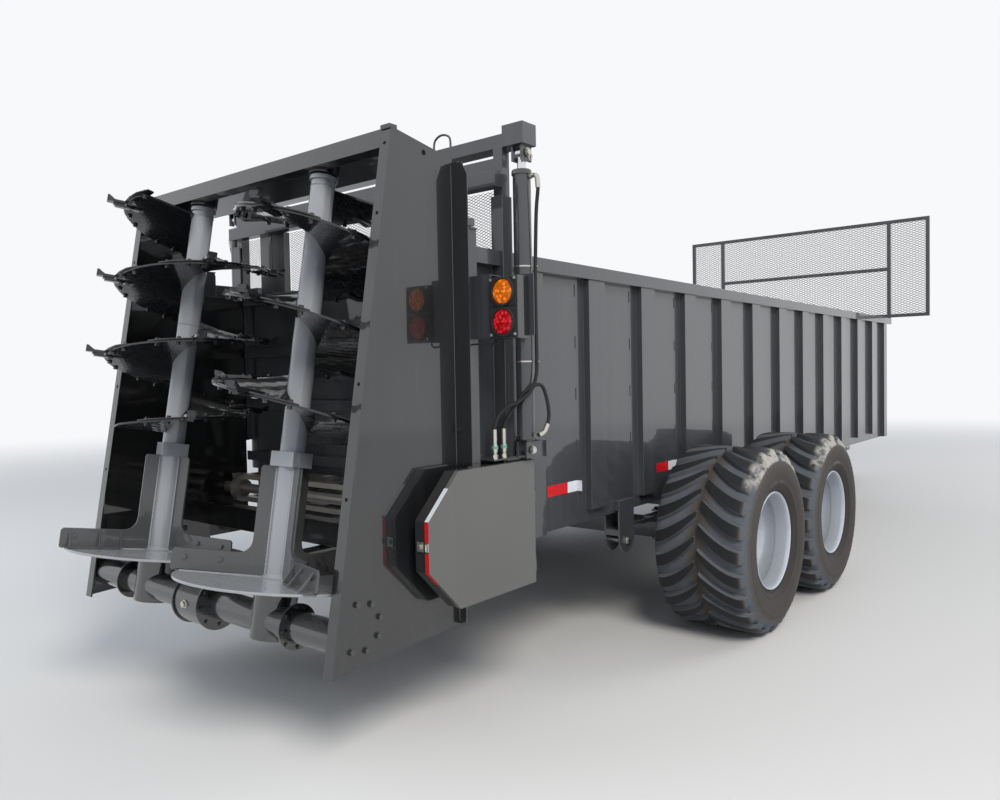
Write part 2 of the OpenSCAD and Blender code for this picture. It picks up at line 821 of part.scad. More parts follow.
// Points of the two hoses on the left side, as distances from a port or a coupler
upper_hose = [
    [cyl_x, port_y + 26 + fit, port_high], [cyl_x, port_y + 36, port_high],
    [cyl_x + 3, port_y + 46, port_high - 14], [cyl_x + 8, port_y + 46, port_high - 60],
    [cyl_x + 14, port_y + 30, port_high - 160], [cyl_x + 18, port_y + 20, port_high - 300],
    [cyl_x + 18, port_y + 14, port_high - 500], [cyl_x + 18, port_y + 14, port_high - 700],
    [cyl_x + 16, port_y + 16, port_high - 880], [cyl_x + 4, port_y + 20, port_high - 960],
    [cyl_x - 30, port_y + 14, port_high - 1030], [cyl_x - 80, port_y - 20, port_high - 1080],
    [cyl_x - 130, port_y - 60, port_high - 1110], [coupler_x[0] + 15, coupler_y + 10, coupler_top + 95],
    [coupler_x[0], coupler_y, coupler_top + 40], [coupler_x[0], coupler_y, coupler_top]
];
lower_hose = [
    [cyl_x, port_y + 26 + fit, port_low], [cyl_x, port_y + 36, port_low],
    [cyl_x + 22, port_y + 50, port_low + 16], [cyl_x + 42, port_y + 54, port_low + 50],
    [cyl_x + 54, port_y + 56, port_low + 100], [cyl_x + 44, port_y + 50, port_low + 180],
    [cyl_x + 16, port_y + 40, port_low + 240], [cyl_x - 30, port_y + 10, port_low + 232],
    [cyl_x - 66, port_y - 30, port_low + 180], [coupler_x[1] + 12, coupler_y + 6, coupler_top + 70],
    [coupler_x[1], coupler_y, coupler_top + 30], [coupler_x[1], coupler_y, coupler_top]
];

module hoses() {
    color(rubber) machine()
        both_sides() {
            swept_tube(upper_hose, hose_d);
            swept_tube(lower_hose, hose_d);
        }
}

module hose_fittings() {
    color(zinc) machine()
        both_sides() {
            block([coupler_x[0] - 30, half_w, coupler_foot], [coupler_x[1] + 30, coupler_y + 20, coupler_foot + 8]);
            for (x = coupler_x)
                translate([x, coupler_y, coupler_foot + 8])
                    cylinder(d = 30, h = coupler_top - coupler_foot - 8 - fit, $fn = 32);
            for (z = [port_low, port_high])
                across(cyl_x, z, port_y + 6, port_y + 26, 22);
        }
}

// Beater housing

module side_plate() {
    edge_len = hood_up + edge_down;
    union() {
        translate([0, half_w, 0]) rotate([90, 0, 0])
            linear_extrude(housing_t)
                polygon([edge_foot, hood_rear, hood_front, [frame_rear, housing_front_z]]);
        translate([edge_foot.x, half_w - edge_flange, edge_foot.y]) rotate([0, lean, 0])
            cube([housing_t, edge_flange, edge_len]);
        block([frame_rear - housing_t, half_w - cut, housing_front_z + 2],
              [frame_rear, half_w + front_flange, hood_front.y - 20]);
    }
}

module housing_sides() {
    color(black_paint) machine() both_sides() side_plate();
}

module housing_hood() {
    plate_y = half_w - housing_t;
    beam_y = half_w - edge_flange;
    color(black_paint) {
        machine() translate([beater_x, 0, beater_z]) rotate([0, lean, 0]) {
            translate([60 - edge_back, -plate_y, hood_up - housing_t])
                cube([hood_front_run + edge_back - 62, 2 * plate_y, housing_t]);
            translate([-edge_back, -beam_y, hood_up - hood_beam_h])
                cube([60, 2 * beam_y, hood_beam_h]);
        }
        for (side = [right, left])
            at_beater(side) difference() {
                translate([0, 0, beater_len + 5])
                    cylinder(d = bearing_d, h = hood_up - housing_t - beater_len - 5, $fn = 48);
                translate([0, 0, beater_len]) cylinder(d = stub_d + 2 * fit, h = 52, $fn = 48);
            }
    }
}

module beater_gear_train() {
    plate_y = half_w - housing_t;
    color(black_paint)
        difference() {
            union() {
                machine() {
                    across(drive_tube_x, drive_tube_z, -plate_y, plate_y, drive_tube_d);
                    for (side = [right, left])
                        block([drive_tube_x - 85, side * beater_y - 85, drive_tube_z - 80],
                              [drive_tube_x + 85, side * beater_y + 85, drive_tube_z + 80]);
                    both_sides()
                        block([drive_tube_x - 58, plate_y - 12, drive_tube_z - 75],
                              [drive_tube_x + 110, plate_y, drive_tube_z + 75]);
                    across(drive_tube_x, drive_tube_z, -105, 105, 230);
                    block([drive_tube_x - 15, -90, 500], [input_back - 10, 90, 700]);
                    along(input_back - 60, input_back + 40, 0, driveline_z, 80);
                }
                for (side = [right, left])
                    at_beater(side)
                        translate([0, 0, -150]) cylinder(d = bearing_d, h = 150 - disc_t - 6, $fn = 48);
            }
            for (side = [right, left])
                at_beater(side)
                    translate([0, 0, -disc_t - 60]) cylinder(d = stub_d + 2 * fit, h = 60, $fn = 48);
            machine() along(input_back - 20, input_back + 40 + cut, 0, driveline_z, input_d + 2 * fit);
        }
}

// Beaters

module beater() {
    color([0.42, 0.45, 0.50]) {
        cylinder(d = beater_tube_d, h = beater_len, $fn = 48);
        translate([0, 0, -disc_t]) cylinder(r = disc_r, h = disc_t, $fn = 96);
        translate([0, 0, -disc_t - 50]) cylinder(d = stub_d, h = 50, $fn = 48);
        translate([0, 0, beater_len]) cylinder(d = stub_d, h = 45, $fn = 48);
        translate([-collar / 2, -collar / 2, fin_h]) cube([collar, collar, collar_h]);
        for (i = [0:paddles - 1])
            rotate(360 * i / paddles) paddle();
    }
}

// An upright fin with a paddle on the disc and a brace between them
module paddle() {
    root = beater_tube_d / 2 - 5;
    translate([0, paddle_t / 2, 0])
        rotate([90, 0, 0])
            linear_extrude(paddle_t)
                polygon([
                    [root, 0], [tip_r, 0], [tip_r, paddle_h], [fin_r + 60, paddle_h],
                    [fin_r, paddle_h + 60], [fin_r, fin_h], [root, fin_h]
                ]);
    translate([fin_r, 0, 0]) cube([100, 60, paddle_t]);
}

// The flighting is a ribbon that climbs around the tube
module flights() {
    steps = 24;
    n = ceil(steps * flight_turns);
    inner = (beater_tube_d / 2 + fit) / cos(180 / steps);
    rise = flight_pitch / steps;
    rings = [
        for (i = [0:n])
            let (a = flight_phase + 360 * i / steps, z = flight_start + i * rise)
                for (p = [[inner, z], [flight_r, z], [flight_r, z + flight_t], [inner, z + flight_t]])
                    [p.x * cos(a), p.x * sin(a), p.y]
    ];
    // The upper and the lower face are split along the same diagonals
    skin = [
        for (i = [0:n - 1], k = [0:3])
            let (a = 4 * i + k, b = 4 * i + (k + 1) % 4)
                each k == 2 ? [[a, b, a + 4], [b, b + 4, a + 4]] : [[a, b, b + 4], [a, b + 4, a + 4]]
    ];
    first = [[3, 2, 1, 0]];
    last = [[4 * n, 4 * n + 1, 4 * n + 2, 4 * n + 3]];
    hammers = floor(hammers_per_turn * (flight_turns - hammer_phase / 360));
    color([0.16, 0.16, 0.17]) {
        polyhedron(points = rings, faces = concat(skin, first, last), convexity = 6);
        for (i = [0:hammers])
            let (a = hammer_phase + 360 * i / hammers_per_turn)
                translate([0, 0, flight_start + flight_pitch * a / 360])
                    rotate(flight_phase + a) hammer();
    }
}

// An arm on the flighting's edge with an upright knife at its tip
module hammer() {
    reach = tip_r - 2;
    translate([flight_r - 60, -hammer_w / 2, (flight_t - hammer_t) / 2])
        cube([reach - flight_r + 60, hammer_w, hammer_t]);
    translate([reach - knife_t, -knife_w / 2, (hammer_t - knife_h) / 2 + 12])
        cube([knife_t, knife_w, knife_h]);
}

module left_rotor() {
    at_beater(left) rotate(left_turn) children();
}

module right_rotor() {
    at_beater(right) mirror([0, 1, 0]) rotate(right_turn) children();
}

module right_beater() { right_rotor() beater(); }
module left_beater() { left_rotor() beater(); }
module right_flights() { right_rotor() flights(); }
module left_flights() { left_rotor() flights(); }

// Drawbar, hitch, jack and driveline

module drawbar() {
    head = hitch_x - 330;
    color(charcoal) machine()
        difference() {
            union() {
                block([box_front, -620, chassis_z - 15], [box_front + 60, 620, chassis_top + 15]);
                both_sides() {
                    beam(leg_from, leg_to, bar_w, bar_h);
                    block([tie_x - 30, 400, 600], [tie_x + 30, 470, 700]);
                }
                block([tie_x - 30, -470, 600], [tie_x + 30, 470, 645]);
                block([tie_x - 30, -60, 640], [tie_x + 30, 60, driveline_z + 60]);
                block([head, -130, hitch_z - bar_h / 2 - 10], [hitch_x - 160, 130, hitch_z + bar_h / 2 + 10]);
                block([jack_x - 60, 220, 560], [jack_x + 60, jack_y - jack_tube_w / 2, 620]);
            }
            along(tie_x - 60, tie_x + 60, 0, driveline_z, driveline_d + 2 * fit);
        }
}

module hitch() {
    color(charcoal) machine()
        difference() {
            union() {
                block([hitch_x - 160, -hitch_w / 2, hitch_z - hitch_gap / 2 - hitch_ear],
                      [hitch_x - 120, hitch_w / 2, hitch_z + hitch_gap / 2 + hitch_ear]);
                for (z = [hitch_z - hitch_gap / 2 - hitch_ear, hitch_z + hitch_gap / 2]) {
                    block([hitch_x - 120, -hitch_w / 2, z], [hitch_x, hitch_w / 2, z + hitch_ear]);
                    translate([hitch_x, 0, z]) cylinder(d = hitch_w, h = hitch_ear, $fn = 48);
                }
            }
            translate([hitch_x, 0, hitch_z - 200]) cylinder(d = hitch_bore, h = 400, $fn = 48);
        }
}

module jack_tube() {
    hollow = jack_leg_w + 4 * fit;
    color(charcoal) machine()
        translate([jack_x, jack_y, jack_tube_z])
            difference() {
                translate([-jack_tube_w / 2, -jack_tube_w / 2, 0]) cube([jack_tube_w, jack_tube_w, jack_tube_l]);
                translate([-hollow / 2, -hollow / 2, -cut]) cube([hollow, hollow, jack_tube_l - 10]);
            }
}

module jack_leg() {
    foot_t = 12;
    color(silver) machine()
        translate([jack_x, jack_y, 0]) {
            translate([-jack_foot_w / 2, -jack_foot_w / 2, 0]) cube([jack_foot_w, jack_foot_w, foot_t]);
            translate([-jack_leg_w / 2, -jack_leg_w / 2, foot_t]) cube([jack_leg_w, jack_leg_w, 660]);
        }
}

module driveline() {
    color(black_paint) machine() {
        along(input_back - 15, input_back + 50, 0, driveline_z, input_d);
        along(input_back + 50, input_front - input_l, 0, driveline_z, driveline_d);
        along(input_front - input_l, input_front, 0, driveline_z, input_d);
    }
}

// Guard of the apron drive, on the right side

function guard_outline(inset) =
    let (f = guard_front - inset, r = guard_front - guard_l + inset, b = guard_z + inset,
         t = guard_top - inset, s = guard_slant - 0.59 * inset)
        [[f, b], [f, t], [r + s, t], [r, t - s], [r, b + s], [r + s, b]];

module guard_slab(from_y, to_y, inset) {
    translate([0, -from_y, 0]) rotate([90, 0, 0])
        linear_extrude(to_y - from_y) polygon(guard_outline(inset));
}

module hinge_knuckle(from_z, to_z) {
    translate([hinge_x, hinge_y, from_z]) cylinder(r = hinge_r, h = to_z - from_z, $fn = 32);
}

module guard_box() {
    back = half_w + frame_post_d;
    rim_y = back + guard_depth;
    color(black_paint) machine() {
        difference() {
            guard_slab(back, rim_y, 0);
            guard_slab(back + guard_t, rim_y + cut, guard_t);
            across(rear_shaft_x, chain_axis_z, -back - 10, -back + 10, chain_shaft_d + 2 * fit);
        }
        for (z = [guard_z + 100, guard_z + 450]) {
            hinge_knuckle(z, z + 30);
            block([hinge_x - 7, hinge_y, z], [hinge_x - 1, -rim_y + 33, z + 30]);
            block([guard_front, -rim_y + 3, z], [hinge_x - 1, -rim_y + 33, z + 30]);
        }
    }
}

module guard_lid() {
    near = half_w + frame_post_d + guard_depth + fit;
    color([0.3, 0.3, 0.29]) machine() {
        guard_slab(near, near + lid_t, -2);
        for (z = [guard_z + 50, guard_z + 400]) {
            hinge_knuckle(z, z + 50 - fit);
            block([guard_front, hinge_y - 6, z], [hinge_x, hinge_y, z + 50 - fit]);
        }
    }
}

// Lamps

lamp_face = frame_rear + 28;

module lamp_boxes() {
    color(black_paint) machine()
        both_sides() {
            block([lamp_face, lamp_y, lamp_z], [lamp_face + 80, lamp_y + lamp_box_w, lamp_z + lamp_box_h]);
            block([lamp_face + 20, half_w + frame_post_d, lamp_z + 10],
                  [lamp_face + 26, lamp_y, lamp_z + lamp_box_h - 10]);
        }
}

module lens_pair(z) {
    machine()
        both_sides()
            along(lamp_face - 12, lamp_face, lamp_y + lamp_box_w / 2, z, lamp_d);
}

module amber_lenses() { color("orange") lens_pair(lamp_z + lamp_box_h - 68); }
module red_lenses() { color("red") lens_pair(lamp_z + 75); }

// Spill screen over the front wall

module screen_frame() {
    t = screen_tube;
    x = rail_front;
    post_y = half_w;
    color(charcoal) machine() {
        both_sides() {
            block([x, post_y, wall_top + 5], [x + t, post_y + t, screen_top - t]);
            block([x, screen_half - t, screen_low], [x + t, screen_half, screen_top - t]);
            block([x, post_y + t, screen_low], [x + t, screen_half - t, screen_low + t]);
        }
        block([x, -screen_half, screen_top - t], [x + t, screen_half, screen_top]);
        block([x, -post_y, screen_mid], [x + t, post_y, screen_mid + t]);
        block([x, -post_y, screen_low], [x + t, post_y, screen_low + t]);
    }
}

// Coarse strands that stand for expanded metal between two corners of a panel
module strands(x, y0, z0, y1, z1) {
    across_n = max(1, round((y1 - y0) / mesh_pitch));
    up_n = max(1, round((z1 - z0) / mesh_pitch));
    for (i = [0:across_n])
        let (y = y0 + (y1 - y0 - strand_w) * i / across_n)
            block([x, y, z0], [x + mesh_t, y + strand_w, z1]);
    for (i = [0:up_n])
        let (z = z0 + (z1 - z0 - strand_w) * i / up_n)
            block([x, y0, z], [x + mesh_t, y1, z + strand_w]);
}

module screen_mesh() {
    x = rail_front + (screen_tube - mesh_t) / 2;
    t = screen_tube;
    low = screen_low + t;
    high = screen_top - t;
    color([0.3, 0.32, 0.34]) machine() {
        both_sides() strands(x, half_w + t, low, screen_half - t, high);
        strands(x, -half_w, low, half_w, screen_mid);
        strands(x, -half_w, screen_mid + t, half_w, high);
    }
}

left_wall();
right_wall();
front_wall();
floor();
chassis();
rear_frame();
top_rails();
apron();
apron_shafts();
axles();
springs();
spring_hangers();
drawbar();
hitch();
jack_tube();
housing_sides();
housing_hood();
beater_gear_train();
gate_cylinders();
hoses();
hose_fittings();
lamp_boxes();
amber_lenses();
red_lenses();
guard_box();
screen_frame();
screen_mesh();
tyre_right_rear();
tyre_right_front();
tyre_left_rear();
tyre_left_front();
rim_right_rear();
rim_right_front();
rim_left_rear();
rim_left_front();
right_beater();
left_beater();
right_flights();
left_flights();
gate_panel();
gate_frame();
gate_rods();
guard_lid();
jack_leg();
driveline();
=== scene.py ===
"""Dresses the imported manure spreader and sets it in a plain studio.

Sizes are in millimetres. Stations along the length count from the rear axle, as in the
part's own drawing, and ``metres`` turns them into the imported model's metres.
"""

import json
import logging
import math
from dataclasses import dataclass
from enum import Enum
from typing import ClassVar, Optional, Sequence, Union

import bmesh
import bpy
from mathutils import Matrix, Vector

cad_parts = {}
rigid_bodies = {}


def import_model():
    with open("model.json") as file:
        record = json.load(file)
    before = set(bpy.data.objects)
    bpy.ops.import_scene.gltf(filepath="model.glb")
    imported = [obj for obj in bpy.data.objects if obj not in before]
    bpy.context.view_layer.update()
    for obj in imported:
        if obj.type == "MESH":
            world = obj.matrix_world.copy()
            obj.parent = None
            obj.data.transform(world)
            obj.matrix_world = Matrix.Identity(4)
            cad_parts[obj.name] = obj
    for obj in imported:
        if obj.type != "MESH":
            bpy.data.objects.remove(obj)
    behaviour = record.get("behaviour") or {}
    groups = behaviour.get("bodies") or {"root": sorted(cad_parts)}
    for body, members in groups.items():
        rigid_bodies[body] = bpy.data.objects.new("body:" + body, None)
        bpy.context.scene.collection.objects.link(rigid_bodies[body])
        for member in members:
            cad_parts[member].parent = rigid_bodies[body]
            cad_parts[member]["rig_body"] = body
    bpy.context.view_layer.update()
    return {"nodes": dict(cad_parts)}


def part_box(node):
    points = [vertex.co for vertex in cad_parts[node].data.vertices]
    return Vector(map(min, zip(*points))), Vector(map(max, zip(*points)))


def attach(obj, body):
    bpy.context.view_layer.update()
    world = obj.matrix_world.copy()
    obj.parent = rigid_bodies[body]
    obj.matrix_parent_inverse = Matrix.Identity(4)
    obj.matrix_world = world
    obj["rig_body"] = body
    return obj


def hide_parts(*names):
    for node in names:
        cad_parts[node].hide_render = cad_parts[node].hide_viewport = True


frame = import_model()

LOG = logging.getLogger("spreader")
Mesh = bpy.types.Mesh
Socket = bpy.types.NodeSocket
Spot = Sequence[float]
Point = tuple[float, float, float]
Colour = tuple[float, float, float]
Number = Union[int, float]
Term = Union["Value", int, float]

IDENTITY = Matrix.Identity(4)
# The mirror image across the machine's middle.
MIRROR = Matrix.Scale(-1.0, 4, (0, 1, 0))
# Places for plates whose outlines are drawn as X and Z, or as Y and Z.
XZ = Matrix(((1, 0, 0, 0), (0, 0, 1, 0), (0, 1, 0, 0), (0, 0, 0, 1)))
YZ = Matrix(((0, 0, 1, 0), (1, 0, 0, 0), (0, 1, 0, 0), (0, 0, 0, 1)))
UP, DOWN = (0, 0, 1), (0, 0, -1)
AHEAD, BACK = (1, 0, 0), (-1, 0, 0)
LEFTWARD, RIGHTWARD = (0, 1, 0), (0, -1, 0)

# Faces larger than this many square metres shade flat.
FLAT_AREA = 0.03
# Edges sharper than this many degrees stay sharp in the shading.
SMOOTH_ANGLE = 35.0
# Edges sharper than this many degrees are rounded.
BEVEL_ANGLE = 40.0
# A CAD node's points closer than this many metres are one point.
WELD_GAP = 0.00002
# A CAD node's faces that meet within this many degrees are one face.
FLAT_ANGLE = 0.5


class Side(Enum):
    """The two sides of the machine, as the sign of Y."""

    RIGHT = -1
    LEFT = 1


class Axis(Enum):
    """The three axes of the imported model."""

    X = 0
    Y = 1
    Z = 2


def middle(node: str) -> Vector:
    """Finds the middle of a CAD node's box.

    Args:
        node: The node's name.

    Returns:
        The middle of its box, in metres.
    """
    low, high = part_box(node)
    return (low + high) / 2


REAR_AXLE = middle("tyre_right_rear").x


def metres(p: Spot) -> Vector:
    """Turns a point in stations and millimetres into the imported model's metres."""
    return Vector((p[0] / 1000 + REAR_AXLE, p[1] / 1000, p[2] / 1000))


# Shader arithmetic


class Value:
    """A number in a material's node tree that takes part in ordinary arithmetic."""

    def __init__(self, graph: "Tree", socket: Socket) -> None:
        """Keeps the tree and the output socket that holds the number."""
        self.graph = graph
        self.socket = socket

    def _with(self, operation: str, other: Term, swapped: bool = False) -> "Value":
        """Adds one Math node.

        Args:
            operation: The Math node's operation.
            other: The second number, or the first one where swapped is true.
            swapped: Whether other comes first.

        Returns:
            The result.
        """
        first, second = (other, self) if swapped else (self, other)
        made = self.graph.node("ShaderNodeMath", {"operation": operation}, {0: first, 1: second})
        return Value(self.graph, made.outputs[0])

    def __add__(self, other: Term) -> "Value":
        """Adds."""
        return self._with("ADD", other)

    def __radd__(self, other: Number) -> "Value":
        """Adds, with the number first."""
        return self._with("ADD", other, True)

    def __sub__(self, other: Term) -> "Value":
        """Takes away."""
        return self._with("SUBTRACT", other)

    def __rsub__(self, other: Number) -> "Value":
        """Takes this from a number."""
        return self._with("SUBTRACT", other, True)

    def __mul__(self, other: Term) -> "Value":
        """Multiplies."""
        return self._with("MULTIPLY", other)

    def __rmul__(self, other: Number) -> "Value":
        """Multiplies, with the number first."""
        return self._with("MULTIPLY", other, True)

    def __truediv__(self, other: Term) -> "Value":
        """Divides."""
        return self._with("DIVIDE", other)

    def __pow__(self, other: Term) -> "Value":
        """Raises to a power."""
        return self._with("POWER", other)

    def larger(self, other: Term) -> "Value":
        """Returns the larger of the two."""
        return self._with("MAXIMUM", other)

    def smaller(self, other: Term) -> "Value":
        """Returns the smaller of the two."""
        return self._with("MINIMUM", other)

    def size(self) -> "Value":
        """Returns the number without its sign."""
        return self._with("ABSOLUTE", 0.0)

    def step(self, low: float, high: float) -> "Value":
        """Rises from 0 to 1 between two numbers.

        Args:
            low: The number below which the result is 0.
            high: The number above which the result is 1. It may be the smaller one.

        Returns:
            The result, between 0 and 1.
        """
        settings = {"interpolation_type": "SMOOTHSTEP", "clamp": True}
        made = self.graph.node("ShaderNodeMapRange", settings, {0: self, 1: low, 2: high})
        return Value(self.graph, made.outputs[0])


class Tree:
    """A node tree with one way to add a node and one way to fill a socket."""

    def __init__(self, tree: bpy.types.NodeTree) -> None:
        """Keeps the tree."""
        self.tree = tree

    def node(self, kind: str, settings: dict, values: dict) -> bpy.types.Node:
        """Adds a node.

        Args:
            kind: The node's type.
            settings: Its properties, set before its sockets.
            values: Its inputs by name or number, each a number, a colour, a Value or a socket.

        Returns:
            The node.
        """
        made = self.tree.nodes.new(kind)
        for key, value in settings.items():
            setattr(made, key, value)
        for key, value in values.items():
            self.join(value, made.inputs[key])
        return made

    def join(self, value: object, socket: Socket) -> None:
        """Sets or links an input socket.

        Args:
            value: A number, a colour, a vector, a Value or an output socket.
            socket: The input.
        """
        if isinstance(value, Value):
            self.tree.links.new(value.socket, socket)
        elif isinstance(value, Socket):
            self.tree.links.new(value, socket)
        elif socket.type == "RGBA" and len(value) == 3:
            socket.default_value = (*value, 1.0)
        else:
            socket.default_value = value

    def looked_at(self) -> Value:
        """Finds the rays that show a picture: straight, mirrored or through glass.

        Returns:
            1 for such a ray and 0 for one that only carries light.
        """
        rays = self.node("ShaderNodeLightPath", {}, {}).outputs
        seen = [Value(self, rays[f"Is {kind} Ray"]) for kind in ("Camera", "Glossy", "Transmission")]
        return seen[0].larger(seen[1]).larger(seen[2])


class Graph(Tree):
    """The node tree of one material."""

    def __init__(self, name: str) -> None:
        """Makes an empty material with a Principled shader.

        Args:
            name: The material's name.
        """
        self.material = bpy.data.materials.new(name)
        self.material.use_nodes = True
        super().__init__(self.material.node_tree)
        self.tree.nodes.clear()
        self.output = self.tree.nodes.new("ShaderNodeOutputMaterial")
        self.shader = self.tree.nodes.new("ShaderNodeBsdfPrincipled")
        self.tree.links.new(self.shader.outputs[0], self.output.inputs[0])
        self._place: Optional[Socket] = None

    def surface(self, values: dict) -> None:
        """Sets the Principled shader's inputs by name."""
        for key, value in values.items():
            self.join(value, self.shader.inputs[key])

    def place(self) -> Socket:
        """Returns the Object coordinates."""
        if self._place is None:
            self._place = self.node("ShaderNodeTexCoord", {}, {}).outputs["Object"]
        return self._place

    def part(self, vector: Socket, axis: Axis) -> Value:
        """Returns one part of a vector."""
        return Value(self, self.node("ShaderNodeSeparateXYZ", {}, {0: vector}).outputs[axis.value])

    def coordinate(self, axis: Axis) -> Value:
        """Returns one Object coordinate, in metres."""
        return self.part(self.place(), axis)

    def facing(self, axis: Axis) -> Value:
        """Returns one part of the surface's normal."""
        return self.part(self.node("ShaderNodeNewGeometry", {}, {}).outputs["Normal"], axis)

    def attribute(self, name: str) -> Value:
        """Returns a number kept on the mesh's points."""
        return Value(self, self.node("ShaderNodeAttribute", {"attribute_name": name}, {}).outputs["Fac"])

    def stretched(self, scale: Point) -> Socket:
        """Returns the Object coordinates times a scale for each axis."""
        return self.node("ShaderNodeMapping", {}, {"Vector": self.place(), "Scale": scale}).outputs[0]

    def noise(self, scale: float, detail: float = 3.0, rough: float = 0.55,
              place: Optional[Socket] = None) -> Value:
        """Returns soft noise between 0 and 1.

        Args:
            scale: Its waves in a metre.
            detail: How many finer layers it has.
            rough: How strong the finer layers are.
            place: Coordinates other than the Object ones.

        Returns:
            The noise.
        """
        made = self.node("ShaderNodeTexNoise", {}, {
            "Vector": place or self.place(), "Scale": scale, "Detail": detail, "Roughness": rough})
        return Value(self, made.outputs["Fac"])

    def cells(self, feature: str, scale: float) -> Value:
        """Returns the distances in a pattern of cells.

        Args:
            feature: What the distance is taken from, as the Voronoi node names it.
            scale: The cells in a metre.

        Returns:
            The distance.
        """
        values = {"Vector": self.place(), "Scale": scale}
        made = self.node("ShaderNodeTexVoronoi", {"feature": feature}, values)
        return Value(self, made.outputs["Distance"])

    def mix(self, share: Union[Value, float], first: object, second: object) -> Socket:
        """Mixes two colours.

        Args:
            share: How much of the second one there is.
            first: A colour or a socket.
            second: A colour or a socket.

        Returns:
            The mixed colour.
        """
        made = self.node("ShaderNodeMix", {"data_type": "RGBA"}, {0: share, 6: first, 7: second})
        return made.outputs[2]

    def bump(self, height: Value, distance: float, strength: float = 1.0) -> Socket:
        """Returns a normal bent by a height.

        Args:
            height: The height, between 0 and 1.
            distance: The depth in metres that 1 stands for.
            strength: The share of the bending that is used.

        Returns:
            The bent normal.
        """
        return self.node("ShaderNodeBump", {}, {
            "Strength": strength, "Distance": distance, "Height": height}).outputs[0]


# Finishes

# The near-black that painted shade takes.
UNLIT: Colour = (0.004, 0.0042, 0.0045)
# Distances from the middle in metres: below the second one the frame's paint takes painted shade, near-black.
FRAME_SHADE_LIMITS = (1.0635, 1.0625)
# Heights and distances from the middle in metres where the dried mud on a tyre fades in or out.
MUD_HEIGHT, MUD_INNER, MUD_OUTER = (0.91, 1.0), (1.740, 1.785), (1.8170, 1.8140)


def shaded(colour: Colour, share: float) -> Colour:
    """Returns a colour made darker or lighter."""
    return tuple(c * share for c in colour)


@dataclass(frozen=True)
class Finish:
    """A named surface finish. Each kind of finish draws its own nodes."""

    name: str
    slot: str

    made: ClassVar[dict[str, bpy.types.Material]] = {}

    def draw(self, graph: Graph) -> None:
        """Draws the finish's nodes."""
        raise NotImplementedError

    def material(self) -> bpy.types.Material:
        """Returns the finish's material, made once."""
        if self.name not in Finish.made:
            graph = Graph(self.name)
            self.draw(graph)
            Finish.made[self.name] = graph.material
        return Finish.made[self.name]


@dataclass(frozen=True)
class Paint(Finish):
    """Sprayed gloss paint: a thin film of dust on what faces up, faint runs and splashes low down, and
    painted shade: near-black on faces turned towards the middle and on the frame's inner parts, darker in
    marked recesses.
    """

    colour: Colour = (0.05, 0.053, 0.058)
    rough: float = 0.3
    coat: float = 0.85
    dust: float = 0.25
    splash: float = 0.3
    runs: float = 0.1
    inside: float = 0.0
    within: float = 0.0
    coat_ior: float = 1.5
    metal: float = 0.0
    dust_colour: Colour = (0.2, 0.185, 0.16)

    def draw(self, graph: Graph) -> None:
        """Draws the paint.

        Args:
            graph: The material's node tree.
        """
        cloud = graph.noise(1.7, 3.0, 0.5)
        fine = graph.noise(42.0, 4.0, 0.65)
        film = graph.noise(4.5, 5.0, 0.6).step(0.3, 0.8)
        up = graph.facing(Axis.Z).step(0.4, 0.95)
        upright = graph.facing(Axis.Z).size().step(0.5, 0.2)
        low = graph.coordinate(Axis.Z).step(1.0, 0.25)
        run = graph.noise(11.0, 3.0, 0.55, graph.stretched((1.0, 1.0, 0.06))).step(0.52, 0.78)
        dust = (up * film * self.dust + low * film * fine.step(0.35, 0.75) * self.splash
                + upright * run * self.runs).smaller(1.0)
        dark = shaded(self.colour, 0.9)
        light = shaded(self.colour, 1.12)
        colour = graph.mix(cloud, dark, light)
        # Painted shade: faces that turn towards the middle go near-black.
        if self.inside:
            inward_shade_mask = (graph.facing(Axis.Y) * graph.coordinate(Axis.Y)).step(-0.3, -0.8)
            colour = graph.mix(inward_shade_mask * self.inside, colour, UNLIT)
        # Painted shade: the frame's parts nearer the middle go near-black.
        if self.within:
            between = graph.coordinate(Axis.Y).size().step(*FRAME_SHADE_LIMITS)
            colour = graph.mix(between * self.within, colour, UNLIT)
        # Painted shade: marked recesses go darker, down to a quarter of the colour.
        colour = graph.mix(graph.attribute("groove") * 0.7, colour, shaded(self.colour, 0.25))
        graph.surface({
            "Base Color": graph.mix(dust, colour, self.dust_colour),
            "Roughness": (self.rough + 0.12 * fine * cloud + 0.45 * dust).smaller(1.0),
            "Coat Weight": (1 - dust) * self.coat,
            "Coat Roughness": 0.03,
            "Coat IOR": self.coat_ior,
            "Metallic": self.metal,
            "Specular IOR Level": 0.3,
            "Normal": graph.bump(graph.noise(160.0, 2.0, 0.5), 0.00015, 0.2),
        })


@dataclass(frozen=True)
class Steel(Finish):
    """Bare steel, worn bright or dull, with rust and manure stains."""

    colour: Colour = (0.42, 0.4, 0.37)
    rough: float = 0.34
    stain: float = 0.5
    stain_colour: Colour = (0.11, 0.075, 0.05)
    metal: float = 0.9

    def draw(self, graph: Graph) -> None:
        """Draws the steel.

        Args:
            graph: The material's node tree.
        """
        stain = graph.noise(9.0, 6.0, 0.7).step(0.62 - 0.3 * self.stain, 0.78)
        scratch = graph.noise(60.0, 4.0, 0.7, graph.stretched((1.0, 0.12, 1.0)))
        graph.surface({
            "Base Color": graph.mix(stain * self.stain, self.colour, self.stain_colour),
            "Metallic": (1 - stain * self.stain) * self.metal,
            "Roughness": (self.rough + 0.2 * scratch + 0.35 * stain * self.stain).smaller(1.0),
            "Normal": graph.bump(scratch, 0.0004, 0.3),
        })


